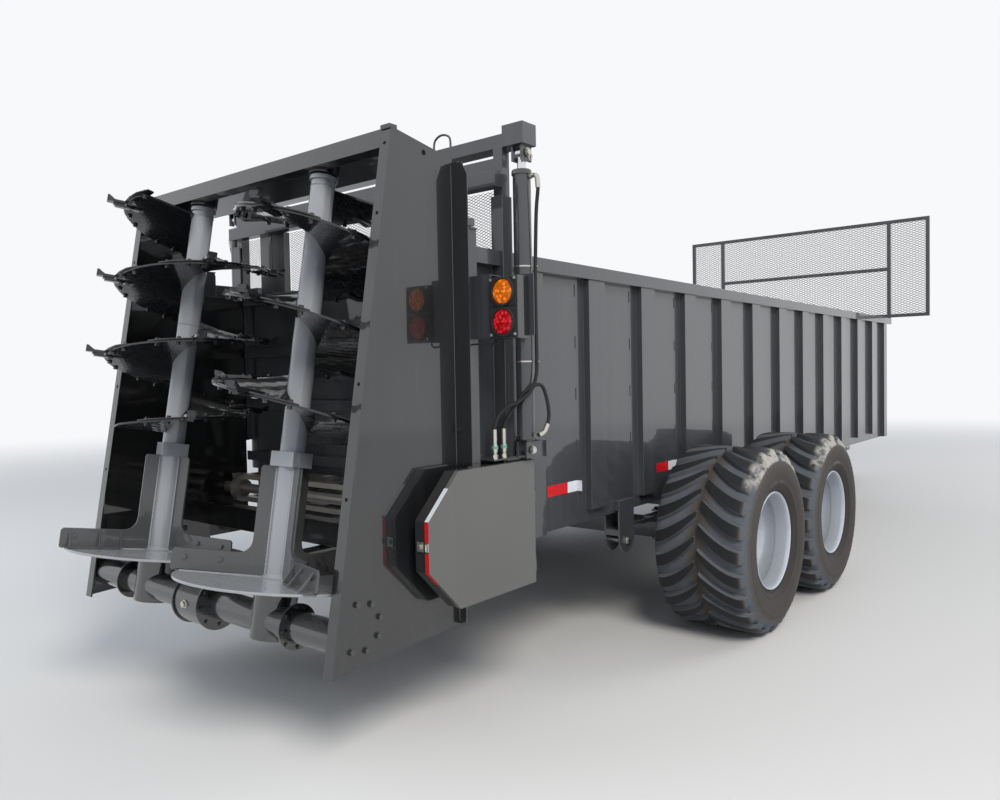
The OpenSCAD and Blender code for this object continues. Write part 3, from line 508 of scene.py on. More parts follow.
@dataclass(frozen=True)
class Plated(Finish):
    """Zinc or chrome plating, nearly even."""

    colour: Colour = (0.7, 0.68, 0.62)
    rough: float = 0.25

    def draw(self, graph: Graph) -> None:
        """Draws the plating.

        Args:
            graph: The material's node tree.
        """
        spangle = graph.noise(90.0, 3.0, 0.6)
        graph.surface({
            "Base Color": graph.mix(spangle, shaded(self.colour, 0.85), self.colour),
            "Metallic": 1.0,
            "Roughness": self.rough + 0.15 * spangle,
        })


@dataclass(frozen=True)
class Rubber(Finish):
    """Tyre or hose rubber: grey dust in grooves with a blue tint that is painted sky light, brown dust on
    walls and dried mud on a shoulder.
    """

    colour: Colour = (0.022, 0.022, 0.023)
    # Dust in the tread, tinted blue as painted sky light.
    dust_colour: Colour = (0.12, 0.13, 0.145)
    wall_colour: Colour = (0.12, 0.103, 0.088)
    mud_colour: Colour = (0.4, 0.39, 0.35)
    dust: float = 0.9
    mud: float = 0.0
    grain: float = 120.0

    def draw(self, graph: Graph) -> None:
        """Draws the rubber.

        Args:
            graph: The material's node tree.
        """
        cloud = graph.noise(9.0, 5.0, 0.65)
        groove = graph.attribute("groove")
        held = groove.step(0.12, 0.95) * (0.62 + 0.55 * cloud) * self.dust
        dust = (held + 0.05 * cloud).smaller(1.0)
        # Tread dust takes the blue-grey of painted sky light; wall dust stays brown.
        tone = graph.mix(groove.step(0.62, 0.85), self.wall_colour, self.dust_colour)
        colour = graph.mix(dust, self.colour, tone)
        rough = (0.58 + 0.35 * dust).smaller(1.0)
        if self.mud:
            out, height = graph.coordinate(Axis.Y).size(), graph.coordinate(Axis.Z)
            patch = (height.step(*MUD_HEIGHT) * out.step(*MUD_INNER) * out.step(*MUD_OUTER)
                     * graph.noise(13.0, 5.0, 0.6).step(0.4, 0.55) * self.mud)
            colour = graph.mix(patch, colour, self.mud_colour)
            rough = (rough + 0.3 * patch).smaller(1.0)
        graph.surface({
            "Base Color": colour,
            "Roughness": rough,
            "Specular IOR Level": 0.3,
            "Normal": graph.bump(graph.noise(self.grain, 4.0, 0.7), 0.0008, 0.35),
        })


@dataclass(frozen=True)
class Lens(Finish):
    """A lamp's moulded lens, lit a little by its own colour."""

    colour: Colour = (0.9, 0.3, 0.01)
    glow: float = 0.35

    def draw(self, graph: Graph) -> None:
        """Draws the lens with a pattern of small prisms.

        Args:
            graph: The material's node tree.
        """
        dome = graph.cells("F1", 55.0).step(0.1, 0.65)
        bright = tuple(min(1.0, c * 1.25 + 0.02) for c in self.colour)
        graph.surface({
            "Base Color": graph.mix(dome, bright, shaded(self.colour, 0.6)),
            "Emission Color": graph.mix(dome, bright, shaded(self.colour, 0.35)),
            "Emission Strength": self.glow,
            "Roughness": 0.08,
            "Coat Weight": 0.15,
            "Specular IOR Level": 0.2,
            "Normal": graph.bump(dome, 0.002, 0.6),
        })


@dataclass(frozen=True)
class Tape(Finish):
    """Reflecting tape with its honeycomb."""

    colour: Colour = (0.7, 0.02, 0.02)

    def draw(self, graph: Graph) -> None:
        """Draws the tape.

        Args:
            graph: The material's node tree.
        """
        cell = graph.cells("DISTANCE_TO_EDGE", 260.0).step(0.02, 0.12)
        graph.surface({
            "Base Color": graph.mix(cell, shaded(self.colour, 0.7), self.colour),
            "Roughness": 0.3 + 0.15 * graph.noise(30.0),
            "Coat Weight": 0.5,
        })


CHARCOAL = Paint("charcoal_gloss_paint", "dark_paint", colour=(0.038, 0.041, 0.046), coat_ior=1.62)
# The frame's inner parts get painted shade, near-black.
FRAME = Paint("frame_gloss_paint", "dark_paint", colour=(0.038, 0.041, 0.046), coat_ior=1.55,
              within=0.9)
# The housing's faces that turn towards the middle get painted shade, near-black.
HOUSING = Paint("housing_gloss_paint", "black_paint", colour=(0.011, 0.0117, 0.013), rough=0.32, coat=1.0,
                dust=0.12, splash=0.12, runs=0.03, inside=0.8, coat_ior=1.68)
INSIDE = Paint("black_gloss_paint", "black_paint", colour=(0.012, 0.0125, 0.0135), rough=0.22, dust=0.2,
               splash=0.15, runs=0.04, coat_ior=1.9)
GUARD = Paint("guard_paint", "guard_paint", colour=(0.1, 0.1, 0.097), rough=0.3, coat=0.6, splash=0.12,
              runs=0.05)
# One beater paint in two tones: the tube's light blue-grey is painted sunlight and sky reflection, the
# paddles' dark grey is painted shade.
SUNLIT_BEATER = Paint("beater_blue_grey_paint", "beater_paint", colour=(0.29, 0.305, 0.325), rough=0.2,
               splash=0.05)
SHADED_PADDLE = Paint("paddle_dark_paint", "beater_paint", colour=(0.062, 0.064, 0.067), rough=0.26,
               splash=0.12)
FLIGHT = Paint("flight_paint", "beater_paint", colour=(0.014, 0.0145, 0.016), rough=0.24, dust=0.12,
               splash=0.1)
SCREEN = Paint("screen_paint", "dark_paint", colour=(0.05, 0.053, 0.057), rough=0.35, coat=0.4,
               splash=0.0)
SILVER = Paint("rim_silver_paint", "rim_silver", colour=(0.56, 0.6, 0.66), rough=0.3, coat=0.3,
               dust=0.15, splash=0.2, dust_colour=(0.3, 0.28, 0.24), coat_ior=1.7, metal=0.5)
# Painted shade: a matte near-black for the dark interior of each hole and of the gap round the guard's lid.
SHADE_BLACK = Paint("hole_black", "black_paint", colour=(0.003, 0.003, 0.003), rough=0.8, coat=0.0, dust=0.0,
             splash=0.0, runs=0.0)
BAND = Paint("coupler_band_green", "zinc", colour=(0.12, 0.34, 0.27), rough=0.4, coat=0.2, splash=0.0)
WORN = Steel("worn_steel", "worn_steel")
CHAIN = Steel("apron_steel", "worn_steel", colour=(0.46, 0.44, 0.4), rough=0.36, stain=0.45)
ZINC = Plated("zinc_plating", "zinc")
CHROME = Plated("hard_chrome", "chromed_rod", colour=(0.8, 0.8, 0.82), rough=0.07)
TYRE = Rubber("tyre_rubber", "tyre_rubber", colour=(0.012, 0.0135, 0.016), mud=0.9)
HOSE = Rubber("hose_rubber", "hose_rubber", colour=(0.02, 0.02, 0.021), dust=0.25, grain=400.0)
AMBER = Lens("amber_lens", "amber", colour=(0.85, 0.17, 0.002), glow=0.25)
RED = Lens("red_lens", "red", colour=(0.5, 0.001, 0.006), glow=0.2)
AMBER_DOT = Lens("amber_diode", "amber", colour=(0.98, 0.42, 0.03), glow=0.4)
RED_DOT = Lens("red_diode", "red", colour=(0.85, 0.03, 0.04), glow=0.4)
RED_TAPE = Tape("red_tape", "red", colour=(0.62, 0.006, 0.01))
WHITE_TAPE = Tape("white_tape", "zinc", colour=(0.72, 0.75, 0.8))


# Mesh making


def body_of(node: str) -> str:
    """Returns the body that a CAD node rides on."""
    return frame["nodes"][node]["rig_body"]


def linked(name: str, data: bpy.types.ID) -> bpy.types.Object:
    """Makes an object of a mesh, a lamp or a camera and links it to the scene.

    Args:
        name: The object's name.
        data: What it shows.

    Returns:
        The object.
    """
    made = bpy.data.objects.new(name, data)
    bpy.context.scene.collection.objects.link(made)
    return made


def finish_object(mesh: Mesh, name: str, finish: Finish, body: str,
                  replaced: Sequence[str] = ()) -> None:
    """Makes an object of a finished mesh and hangs it on its body.

    Args:
        mesh: The mesh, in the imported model's metres.
        name: The object's name.
        finish: Its finish.
        body: The body that it rides on.
        replaced: The CAD nodes that it stands for.
    """
    mesh = with_even_normals(mesh)
    mesh.name = name
    made = linked(name, mesh)
    mesh.materials.clear()
    mesh.materials.append(finish.material())
    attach(made, body)
    if replaced:
        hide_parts(*replaced)


def modified(mesh: Mesh, kind: str, settings: dict,
             inputs: Optional[dict] = None) -> Mesh:
    """Applies a modifier to a mesh.

    Args:
        mesh: The mesh.
        kind: The modifier's type.
        settings: Its properties.
        inputs: The values of its node tree's inputs.

    Returns:
        A new mesh.
    """
    helper = linked("modified_mesh", mesh)
    modifier = helper.modifiers.new("modifier", kind)
    for key, value in settings.items():
        setattr(modifier, key, value)
    for key, value in (inputs or {}).items():
        modifier[key] = value
    bpy.context.view_layer.update()
    made = bpy.data.meshes.new_from_object(helper.evaluated_get(bpy.context.evaluated_depsgraph_get()))
    bpy.data.objects.remove(helper)
    return made


def with_even_normals(mesh: Mesh) -> Mesh:
    """Weights a mesh's normals by face size, so that its large flat faces shade flat.

    Args:
        mesh: The mesh.

    Returns:
        A new mesh with weighted normals.
    """
    smooth = [face.use_smooth and face.area < FLAT_AREA for face in mesh.polygons]
    mesh.polygons.foreach_set("use_smooth", smooth)
    return modified(mesh, "WEIGHTED_NORMAL", {"mode": "FACE_AREA", "weight": 100, "keep_sharp": True})


def smooth_by_angle(mesh: Mesh, degrees: float = SMOOTH_ANGLE) -> None:
    """Shades a mesh smooth, with edges sharper than an angle kept sharp."""
    mesh.polygons.foreach_set("use_smooth", [True] * len(mesh.polygons))
    mesh.set_sharp_from_angle(angle=math.radians(degrees))


def with_bevel(mesh: Mesh, width: float, segments: int = 2) -> Mesh:
    """Rounds the sharp edges of a mesh.

    Args:
        mesh: The mesh.
        width: The rounding's width, in the mesh's own unit.
        segments: The facets across it.

    Returns:
        A new mesh with rounded edges.
    """
    return modified(mesh, "BEVEL", {
        "width": width, "segments": segments, "limit_method": "ANGLE",
        "angle_limit": math.radians(BEVEL_ANGLE), "use_clamp_overlap": True, "harden_normals": False})


def square_to(along: Vector) -> tuple[Vector, Vector]:
    """Returns two directions that are square to a direction and to each other."""
    across = along.orthogonal().normalized()
    return across, along.cross(across)


def circle(centre: Vector, across: Vector, up: Vector, radius: float, sides: int) -> list[Vector]:
    """Spaces points evenly around a middle.

    Args:
        centre: The middle.
        across: The direction of the first point.
        up: The direction of the quarter turn.
        radius: The points' distance from the middle.
        sides: The number of points.

    Returns:
        The points.
    """
    angles = [math.tau * i / sides for i in range(sides)]
    return [centre + radius * (math.cos(angle) * across + math.sin(angle) * up) for angle in angles]


def around(radius: float, angle: float, z: float) -> Point:
    """Returns a point at a radius, an angle and a height around the Z axis."""
    return radius * math.cos(angle), radius * math.sin(angle), z


class Shape:
    """A mesh under construction, in stations and millimetres."""

    def __init__(self) -> None:
        """Starts empty."""
        self.bm = bmesh.new()
        self.groove = self.bm.verts.layers.float.new("groove")

    def add(self, points: Sequence[Spot], faces: Sequence[Sequence[int]],
            grooves: Optional[Sequence[float]] = None) -> None:
        """Adds points and the faces between them.

        Args:
            points: The points.
            faces: The numbers of each face's points.
            grooves: How much dust each point holds on rubber, and how much painted shade on paint, between 0
                and 1.
        """
        verts = [self.bm.verts.new(p) for p in points]
        for vert, groove in zip(verts, grooves or ()):
            vert[self.groove] = groove
        for face in faces:
            self.bm.faces.new([verts[i] for i in face])

    def loft(self, rings: Sequence[Sequence[Spot]], grooves: Optional[Sequence[float]] = None,
             closed: bool = False) -> None:
        """Adds a solid through rings that all have the same number of points.

        Args:
            rings: The rings, from one end to the other.
            grooves: How much dust each point holds on rubber, and how much painted shade on paint, between 0
                and 1.
            closed: Whether the last ring joins the first one. Otherwise the ends are capped.
        """
        count, n = len(rings), len(rings[0])
        caps = [tuple(range(n - 1, -1, -1)), tuple(range((count - 1) * n, count * n))]
        faces = [] if closed else caps
        for i in range(count if closed else count - 1):
            here, there = i * n, (i + 1) % count * n
            for k in range(n):
                m = (k + 1) % n
                faces.append((here + k, here + m, there + m, there + k))
        self.add([point for ring in rings for point in ring], faces, grooves)

    def block(self, low: Point, high: Point) -> None:
        """Adds a box from its low corner to its high corner."""
        outline = [(low[0], low[1]), (high[0], low[1]), (high[0], high[1]), (low[0], high[1])]
        self.slab(outline, low[2], high[2])

    def slab(self, outline: Sequence[tuple[float, float]], low: float, high: float,
             place: Matrix = IDENTITY) -> None:
        """Adds a flat plate.

        Args:
            outline: Its corners in its own plane, counter-clockwise.
            low: Its lower face above that plane.
            high: Its upper face above that plane.
            place: Where the plane lies.
        """
        self.loft([[place @ Vector((x, y, z)) for x, y in outline] for z in (low, high)])

    def rod(self, start: Spot, end: Spot, radius: float, sides: int = 20) -> None:
        """Adds a round or many-sided bar.

        Args:
            start: The middle of one end.
            end: The middle of the other end.
            radius: Its radius at the corners.
            sides: The number of its sides.
        """
        a, b = Vector(start), Vector(end)
        across, up = square_to((b - a).normalized())
        self.loft([circle(centre, across, up, radius, sides) for centre in (a, b)])

    def bolt(self, foot: Spot, way: Spot, across_flats: float = 24.0,
             height: float = 12.0, washer: float = 2.5) -> None:
        """Adds a hexagon head on a washer.

        Args:
            foot: The middle of the washer's lower face.
            way: The direction that the head points.
            across_flats: The head's size.
            height: The head's height.
            washer: The washer's thickness.
        """
        out, a = Vector(way).normalized(), Vector(foot)
        self.rod(a, a + out * washer, across_flats * 0.68, 16)
        self.rod(a + out * washer, a + out * (washer + height), across_flats * 0.56, 6)

    def lathe(self, profile: Sequence[tuple[float, float]], centre: Spot = (0, 0, 0),
              along: Spot = UP, sides: int = 48,
              grooves: Optional[Sequence[float]] = None) -> None:
        """Adds a closed turned form.

        Args:
            profile: Pairs of radius and distance along the axis, as a closed outline.
            centre: The axis's zero point.
            along: The axis's direction.
            sides: The facets around it.
            grooves: How much dust each point of the outline holds on rubber, and how much painted shade on
                paint.
        """
        axis, origin = Vector(along).normalized(), Vector(centre)
        across, up = square_to(axis)
        rings = []
        for i in range(sides):
            angle = math.tau * i / sides
            spoke = math.cos(angle) * across + math.sin(angle) * up
            rings.append([origin + axis * z + spoke * max(r, 0.01) for r, z in profile])
        self.loft(rings, list(grooves) * sides if grooves else None, True)

    def hose(self, path: Sequence[Spot], radius: float, sides: int = 12) -> None:
        """Adds a round tube that follows points smoothly.

        Args:
            path: The points.
            radius: The tube's radius.
            sides: The facets around it.
        """
        pts, steps = [Vector(p) for p in path], 5
        fine: list[Vector] = []
        for i in range(len(pts) - 1):
            before, a, b, after = pts[max(i - 1, 0)], pts[i], pts[i + 1], pts[min(i + 2, len(pts) - 1)]
            for k in range(steps):
                t = k / steps
                fine.append(0.5 * (2 * a + (b - before) * t + (2 * before - 5 * a + 4 * b - after) * t * t
                                   + (3 * a - before - 3 * b + after) * t ** 3))
        fine.append(pts[-1])
        rings = []
        across = (fine[1] - fine[0]).orthogonal().normalized()
        for i, centre in enumerate(fine):
            along = (fine[min(i + 1, len(fine) - 1)] - fine[max(i - 1, 0)]).normalized()
            across = (across - along * across.dot(along)).normalized()
            rings.append(circle(centre, across, along.cross(across), radius, sides))
        self.loft(rings)

    def weld(self, start: Spot, end: Spot, radius: float = 5.0,
             pitch: float = 9.0) -> None:
        """Adds a rippled weld bead.

        Args:
            start: One end.
            end: The other end.
            radius: The bead's radius at the top of a ripple.
            pitch: The way from one ripple to the next.
        """
        a, b = Vector(start), Vector(end)
        across, up = square_to((b - a).normalized())
        count = 2 * max(4, int((b - a).length / pitch))
        rings = []
        for i in range(count + 1):
            swell = radius * (1.0 if i % 2 else 0.72) * (0.5 if i in (0, count) else 1.0)
            rings.append(circle(a.lerp(b, i / count), across, up, swell, 6))
        self.loft(rings)

    def both_sides(self) -> "Shape":
        """Adds the mirror image across the machine's middle."""
        every = self.bm.verts[:] + self.bm.edges[:] + self.bm.faces[:]
        for copy in bmesh.ops.duplicate(self.bm, geom=every)["geom"]:
            if isinstance(copy, bmesh.types.BMVert):
                copy.co.y = -copy.co.y
        return self

    def plain(self, bevel: float = 0.0, segments: int = 2, smooth: float = 35.0) -> Mesh:
        """Closes the shape and returns it in its own millimetres.

        Args:
            bevel: The rounding of its sharp edges, in millimetres.
            segments: The facets across the rounding.
            smooth: The angle above which edges stay sharp in the shading.

        Returns:
            The mesh.
        """
        bmesh.ops.recalc_face_normals(self.bm, faces=self.bm.faces)
        made = bpy.data.meshes.new("shape")
        self.bm.to_mesh(made)
        self.bm.free()
        if bevel:
            made = with_bevel(made, bevel, segments)
        smooth_by_angle(made, smooth)
        return made


def settled(mesh: Mesh, place: Matrix = IDENTITY) -> Mesh:
    """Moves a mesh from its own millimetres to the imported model's metres.

    Args:
        mesh: The mesh.
        place: Where it stands, in stations and millimetres. It may mirror the mesh.

    Returns:
        The same mesh.
    """
    mesh.transform(Matrix.Translation((REAR_AXLE, 0, 0)) @ Matrix.Scale(0.001, 4) @ place)
    if place.determinant() < 0:
        mesh.flip_normals()
    return mesh


# Repeats


class Repeat(Tree):
    """A Geometry Nodes tree that repeats a shape in rows, around an axis or along a rise."""

    INPUTS: ClassVar[dict[str, str]] = {
        "Geometry": "NodeSocketGeometry", "Material": "NodeSocketMaterial", "Count": "NodeSocketInt",
        "Step": "NodeSocketVector", "Turn": "NodeSocketFloat", "Rows": "NodeSocketInt",
        "Row Step": "NodeSocketVector",
    }

    def __init__(self) -> None:
        """Builds the tree."""
        super().__init__(bpy.data.node_groups.new("repeat_shape", "GeometryNodeTree"))
        self.names: dict[str, str] = {}
        for label, kind in self.INPUTS.items():
            socket = self.tree.interface.new_socket(label, in_out="INPUT", socket_type=kind)
            self.names[label] = socket.identifier
        self.tree.interface.new_socket("Geometry", in_out="OUTPUT", socket_type="NodeSocketGeometry")
        given = self.tree.nodes.new("NodeGroupInput").outputs
        result = self.tree.nodes.new("NodeGroupOutput")
        total = self.number("MULTIPLY", given["Count"], given["Rows"])
        index = self.node("GeometryNodeInputIndex", {}, {}).outputs[0]
        nudged = self.number("ADD", index, 0.5)
        row = self.number("FLOOR", self.number("DIVIDE", nudged, given["Count"]), 0.0)
        place = self.number("SUBTRACT", index, self.number("MULTIPLY", row, given["Count"]))
        scaled = {"operation": "SCALE"}
        along = self.node("ShaderNodeVectorMath", scaled, {0: given["Step"], "Scale": place})
        over = self.node("ShaderNodeVectorMath", scaled, {0: given["Row Step"], "Scale": row})
        spot = self.node("ShaderNodeVectorMath", {"operation": "ADD"}, {
            0: along.outputs[0], 1: over.outputs[0]})
        points = self.node("GeometryNodePoints", {}, {"Count": total, "Position": spot.outputs[0]})
        spin = self.node("ShaderNodeCombineXYZ", {}, {2: self.number("MULTIPLY", place, given["Turn"])})
        turn = self.node("FunctionNodeEulerToRotation", {}, {0: spin.outputs[0]})
        copies = self.node("GeometryNodeInstanceOnPoints", {}, {
            "Points": points.outputs[0], "Instance": given["Geometry"], "Rotation": turn.outputs[0]})
        real = self.node("GeometryNodeRealizeInstances", {}, {0: copies.outputs[0]})
        painted = self.node("GeometryNodeSetMaterial", {}, {
            "Geometry": real.outputs[0], "Material": given["Material"]})
        self.tree.links.new(painted.outputs[0], result.inputs[0])

    def number(self, operation: str, first: object, second: object) -> Socket:
        """Adds a Math node and returns its result."""
        return self.node("ShaderNodeMath", {"operation": operation}, {0: first, 1: second}).outputs[0]

    def run(self, mesh: Mesh, finish: Finish, count: int, step: Point = (0.0, 0.0, 0.0),
            turn: float = 0.0, rows: int = 1, row_step: Point = (0.0, 0.0, 0.0)) -> Mesh:
        """Repeats a mesh.

        Args:
            mesh: The shape that is repeated.
            finish: The finish that the copies get.
            count: The copies in a row.
            step: The way from one copy to the next.
            turn: The turn around Z from one copy to the next, in degrees.
            rows: The number of rows.
            row_step: The way from one row to the next.

        Returns:
            One mesh with all the copies.
        """
        values = {"Material": finish.material(), "Count": count, "Step": step, "Turn": math.radians(turn),
                  "Rows": rows, "Row Step": row_step}
        inputs = {self.names[label]: value for label, value in values.items()}
        return modified(mesh, "NODES", {"node_group": self.tree}, inputs)


REPEAT = Repeat()


def put(shape: Shape, name: str, finish: Finish, node: str, bevel: float = 0.0,
        replaced: Sequence[str] = ()) -> None:
    """Finishes a shape drawn in stations and hangs it on the body of a CAD node.

    Args:
        shape: The shape.
        name: The object's name.
        finish: Its finish.
        node: A CAD node on the same body.
        bevel: The rounding of its edges in millimetres.
        replaced: The CAD nodes that it stands for.
    """
    finish_object(settled(shape.plain(bevel)), name, finish, body_of(node), replaced)


def put_row(shape: Shape, name: str, finish: Finish, node: str, count: int, step: Point, rows: int = 1,
            row_step: Point = (0.0, 0.0, 0.0)) -> None:
    """Repeats a shape drawn in stations in rows and hangs the rows on the body of a CAD node.

    Args:
        shape: The first copy.
        name: The object's name.
        finish: Its finish.
        node: A CAD node on the same body.
        count: The copies in a row.
        step: The way from one copy to the next.
        rows: The number of rows.
        row_step: The way from one row to the next.
    """
    mesh = REPEAT.run(shape.plain(), finish, count, step, 0.0, rows, row_step)
    finish_object(settled(mesh), name, finish, body_of(node))


def bolt_ring(name: str, finish: Finish, node: str, centre: Point, along: Point, radius: float, count: int,
              across_flats: float) -> None:
    """Puts a ring of bolts around an axis.

    Args:
        name: The object's name.
        finish: The bolts' finish.
        node: A CAD node on the same body.
        centre: The ring's middle.
        along: The axis, the way that the heads point.
        radius: The ring's radius.
        count: The number of bolts.
        across_flats: The heads' size.
    """
    shape = Shape()
    shape.bolt((radius, 0, 0), UP, across_flats, 9)
    turn = Vector(along).to_track_quat("Z", "Y").to_matrix().to_4x4()
    mesh = REPEAT.run(shape.plain(), finish, count, turn=360 / count)
    finish_object(settled(mesh, Matrix.Translation(centre) @ turn), name, finish, body_of(node))


def rounded_copy(node: str, finish: Finish, bevel: float = 2.0) -> None:
    """Puts a copy of a CAD node with rounded edges in its place.

    Args:
        node: The node's name.
        finish: Its finish.
        bevel: The rounding in millimetres.
    """
    bm = bmesh.new()
    bm.from_mesh(frame["nodes"][node].data)
    bmesh.ops.remove_doubles(bm, verts=bm.verts, dist=WELD_GAP)
    bmesh.ops.dissolve_limit(bm, angle_limit=math.radians(FLAT_ANGLE), verts=bm.verts, edges=bm.edges)
    mesh = bpy.data.meshes.new(node)
    bm.to_mesh(mesh)
    bm.free()
    mesh = with_bevel(mesh, bevel / 1000)
    smooth_by_angle(mesh)
    finish_object(mesh, node + "_dressed", finish, body_of(node), [node])


# Wheels and beaters


class Turning:
    """A sub-assembly that turns on its own axle, drawn with the axle along the local Z."""

    def place(self) -> Matrix:
        """Returns its place, in stations and millimetres."""
        raise NotImplementedError

    def body(self) -> str:
        """Returns its body."""
        raise NotImplementedError

    def hang(self, mesh: Mesh, name: str, finish: Finish, replaced: Sequence[str] = ()) -> None:
        """Sets a mesh in its place and hangs it on the body.

        Args:
            mesh: The mesh, in its own millimetres.
            name: The object's name.
            finish: Its finish.
            replaced: The CAD nodes that it stands for.
        """
        finish_object(settled(mesh, self.place()), name, finish, self.body(), replaced)

    def hang_ring(self, mesh: Mesh, name: str, finish: Finish, count: int) -> None:
        """Hangs a full ring of copies of a mesh.

        Args:
            mesh: The first copy, in its own millimetres.
            name: The object's name.
            finish: Its finish.
            count: The number of copies.
        """
        self.hang(REPEAT.run(mesh, finish, count, turn=360 / count), name, finish)


@dataclass
class Wheel(Turning):
    """One wheel: the lugged tyre, its sidewalls and the silver rim with its nuts."""

    name: str
    side: Side
    radius: float = 575.0
    lugs: int = 24
    ticks: int = 72
    lug_width: float = 76.0
    lug_sweep: float = 16.0
    nuts: int = 10
    nut_circle: float = 140.0

    def place(self) -> Matrix:
        """Returns the wheel's place, with its axis along the local Z, outwards."""
        centre = middle("tyre_" + self.name)
        spot = Matrix.Translation(((centre.x - REAR_AXLE) * 1000, centre.y * 1000, centre.z * 1000))
        hand = MIRROR if self.side is Side.LEFT else IDENTITY
        return spot @ hand @ Matrix.Rotation(math.radians(90), 4, "X")

    def body(self) -> str:
        """Returns the wheel's body."""
        return self.name + "_wheel"

    def build(self) -> None:
        """Builds the whole wheel."""
        node = "tyre_" + self.name
        self.hang(self.carcass(), node + "_carcass", TYRE, [node])
        for part, make, count in (("lugs", self.lug, self.lugs), ("ticks", self.tick, self.ticks)):
            for half, where in ((1, "outer"), (-1, "inner")):
                self.hang_ring(make(half), f"{node}_{part}_{where}", TYRE, count)
        self.hang(self.rim(), f"rim_{self.name}_dressed", SILVER, ["rim_" + self.name])
        self.hang_ring(self.nut(), self.name + "_wheel_nuts", ZINC, self.nuts)
        self.hang(self.hub_cap(), self.name + "_hub_cap", INSIDE)

    def carcass(self) -> Mesh:
        """Turns the tyre's carcass with its ribbed sidewalls.

        Returns:
            The carcass, in the wheel's own millimetres.
        """
        outer = [(286.5, 246, 0.2), (304, 251, 0.25), (308, 262, 0.3), (318, 268, 0.35), (322, 266, 0.45),
                 (338, 279, 0.4), (352, 285, 0.4), (356, 289, 0.4), (360, 287, 0.5), (396, 297, 0.45),
                 (428, 299.5, 0.5), (452, 299, 0.55), (456, 300, 0.5), (460, 297, 0.6), (486, 293, 0.7),
                 (504, 287, 0.8), (517, 279, 0.9), (526, 268, 1.0), (534, 246, 1.0), (539, 205, 1.0),
                 (541.5, 130, 0.95), (542.5, 40, 0.7), (543, 0, 0.5)]
        profile = outer + [(r, -z, g) for r, z, g in reversed(outer[:-1])]
        shape = Shape()
        shape.lathe([(r, z) for r, z, _ in profile], sides=120, grooves=[g for _, _, g in profile])
        return shape.plain(smooth=50)

    def lug(self, half: int) -> Mesh:
        """Lofts one curved lug from the tyre's middle over its shoulder.

        Args:
            half: 1 for the outer half of the tread and -1 for the inner one.

        Returns:
            The lug, in the wheel's own millimetres.
        """
        stations = [(8, 552, 0.5, 0.6), (13, 571, 0.56, 0.2), (40, 574.6, 0.68, 0.0), (78, 574.8, 0.8, 0.0),
                    (120, 574.6, 0.9, 0.0), (162, 574, 0.97, 0.0), (204, 572.5, 1.0, 0.0),
                    (236, 568, 1.0, 0.05), (256, 560, 1.0, 0.45), (264, 548, 1.0, 0.85),
                    (278, 520, 0.9, 0.9), (284, 498, 0.75, 0.9)]
        begin, reach = 8, 264.0
        shift = 0.0 if half > 0 else 180.0 / self.lugs
        rings, grooves = [], []
        for z, top, wide, dust in stations:
            share = min(1.0, (z - begin) / (reach - begin))
            angle = self.lug_sweep * (1 - (1 - share) ** 1.65) + shift
            root = min(535.0, top - 6)
            w = self.lug_width * wide / 2
            edge = max(dust, 0.6)
            section = ((root, -w - 9, 1.0), (top - 5, -w - 1, 0.97), (top - 0.4, -w + 2.5, edge),
                       (top, -w + 5, dust), (top, w - 5, dust), (top - 0.4, w - 2.5, edge),
                       (top - 5, w + 1, 0.97), (root, w + 9, 1.0))
            turn = math.radians(angle)
            rings.append([around(r, turn + y / self.radius, half * z) for r, y, _ in section])
            grooves += [g for _, _, g in section]
        shape = Shape()
        shape.loft(rings, grooves)
        return shape.plain(smooth=28)

    def tick(self, half: int) -> Mesh:
        """Makes one small rib of the sidewall.

        Args:
            half: 1 for the outer sidewall and -1 for the inner one.

        Returns:
            The rib, in the wheel's own millimetres.
        """
        section = ((462, 292), (500, 284), (500, 290.5), (462, 299.5))
        shape = Shape()
        shape.loft([[(r, y, half * z) for r, z in section] for y in (-1.6, 1.6)], [0.8] * 8)
        return shape.plain()

    def rim(self) -> Mesh:
        """Turns the rim: the stepped barrel, the disc, the hub and its bore, with painted shade in its
        recesses.

        Returns:
            The rim, in the wheel's own millimetres.
        """
        # The third numbers of the front points are painted shade in the rim's steps and recesses.
        front = [(0, -18, 0.3), (140, -18, 0.3), (205, -18, 0.4), (222, -14, 0.9), (229, -4, 0.7),
                 (230, 50, 0.4), (236, 66, 0.3), (257, 97, 0.2), (262, 120, 0.1), (264, 155, 0.5),
                 (267, 162, 1.0), (276, 166, 1.0), (279, 178, 0.2), (281, 238, 0.0), (286, 253, 0.3),
                 (292, 262, 0.0), (297, 265, 0.0), (302, 262, 0.0), (302, 253, 0.4), (286, 249, 0.6)]
        back = [(286, 79.5), (241, 40), (241, -60), (286, -79.5), (286, -249), (302, -253), (302, -265),
                (294, -265), (274, -253), (274, -100), (229, -60), (229, -30), (115, -30), (115, -385),
                (62, -385), (62, -70), (0, -70)]
        grooves = [g for _, _, g in front] + [0.3] * len(back)
        shape = Shape()
        shape.lathe([(r, z) for r, z, _ in front] + back, sides=96, grooves=grooves)
        return shape.plain(smooth=30)

    def nut(self) -> Mesh:
        """Makes one wheel nut with its stud, standing on the disc.

        Returns:
            The nut, in the wheel's own millimetres.
        """
        shape = Shape()
        x = self.nut_circle
        shape.rod((x, 0, -19), (x, 0, -14), 19, 16)
        shape.rod((x, 0, -14), (x, 0, 6), 17, 6)
        shape.rod((x, 0, 6), (x, 0, 20), 9, 12)
        return shape.plain(0.8, 1)

    def hub_cap(self) -> Mesh:
        """Turns the hub's flange and its grease cap.

        Returns:
            The cap, in the wheel's own millimetres.
        """
        shape = Shape()
        shape.lathe([(0, -20), (105, -20), (105, -12), (98, -8), (82, -8), (78, 30), (72, 36), (52, 38),
                     (48, 52), (0, 54)])
        return shape.plain(1.5)


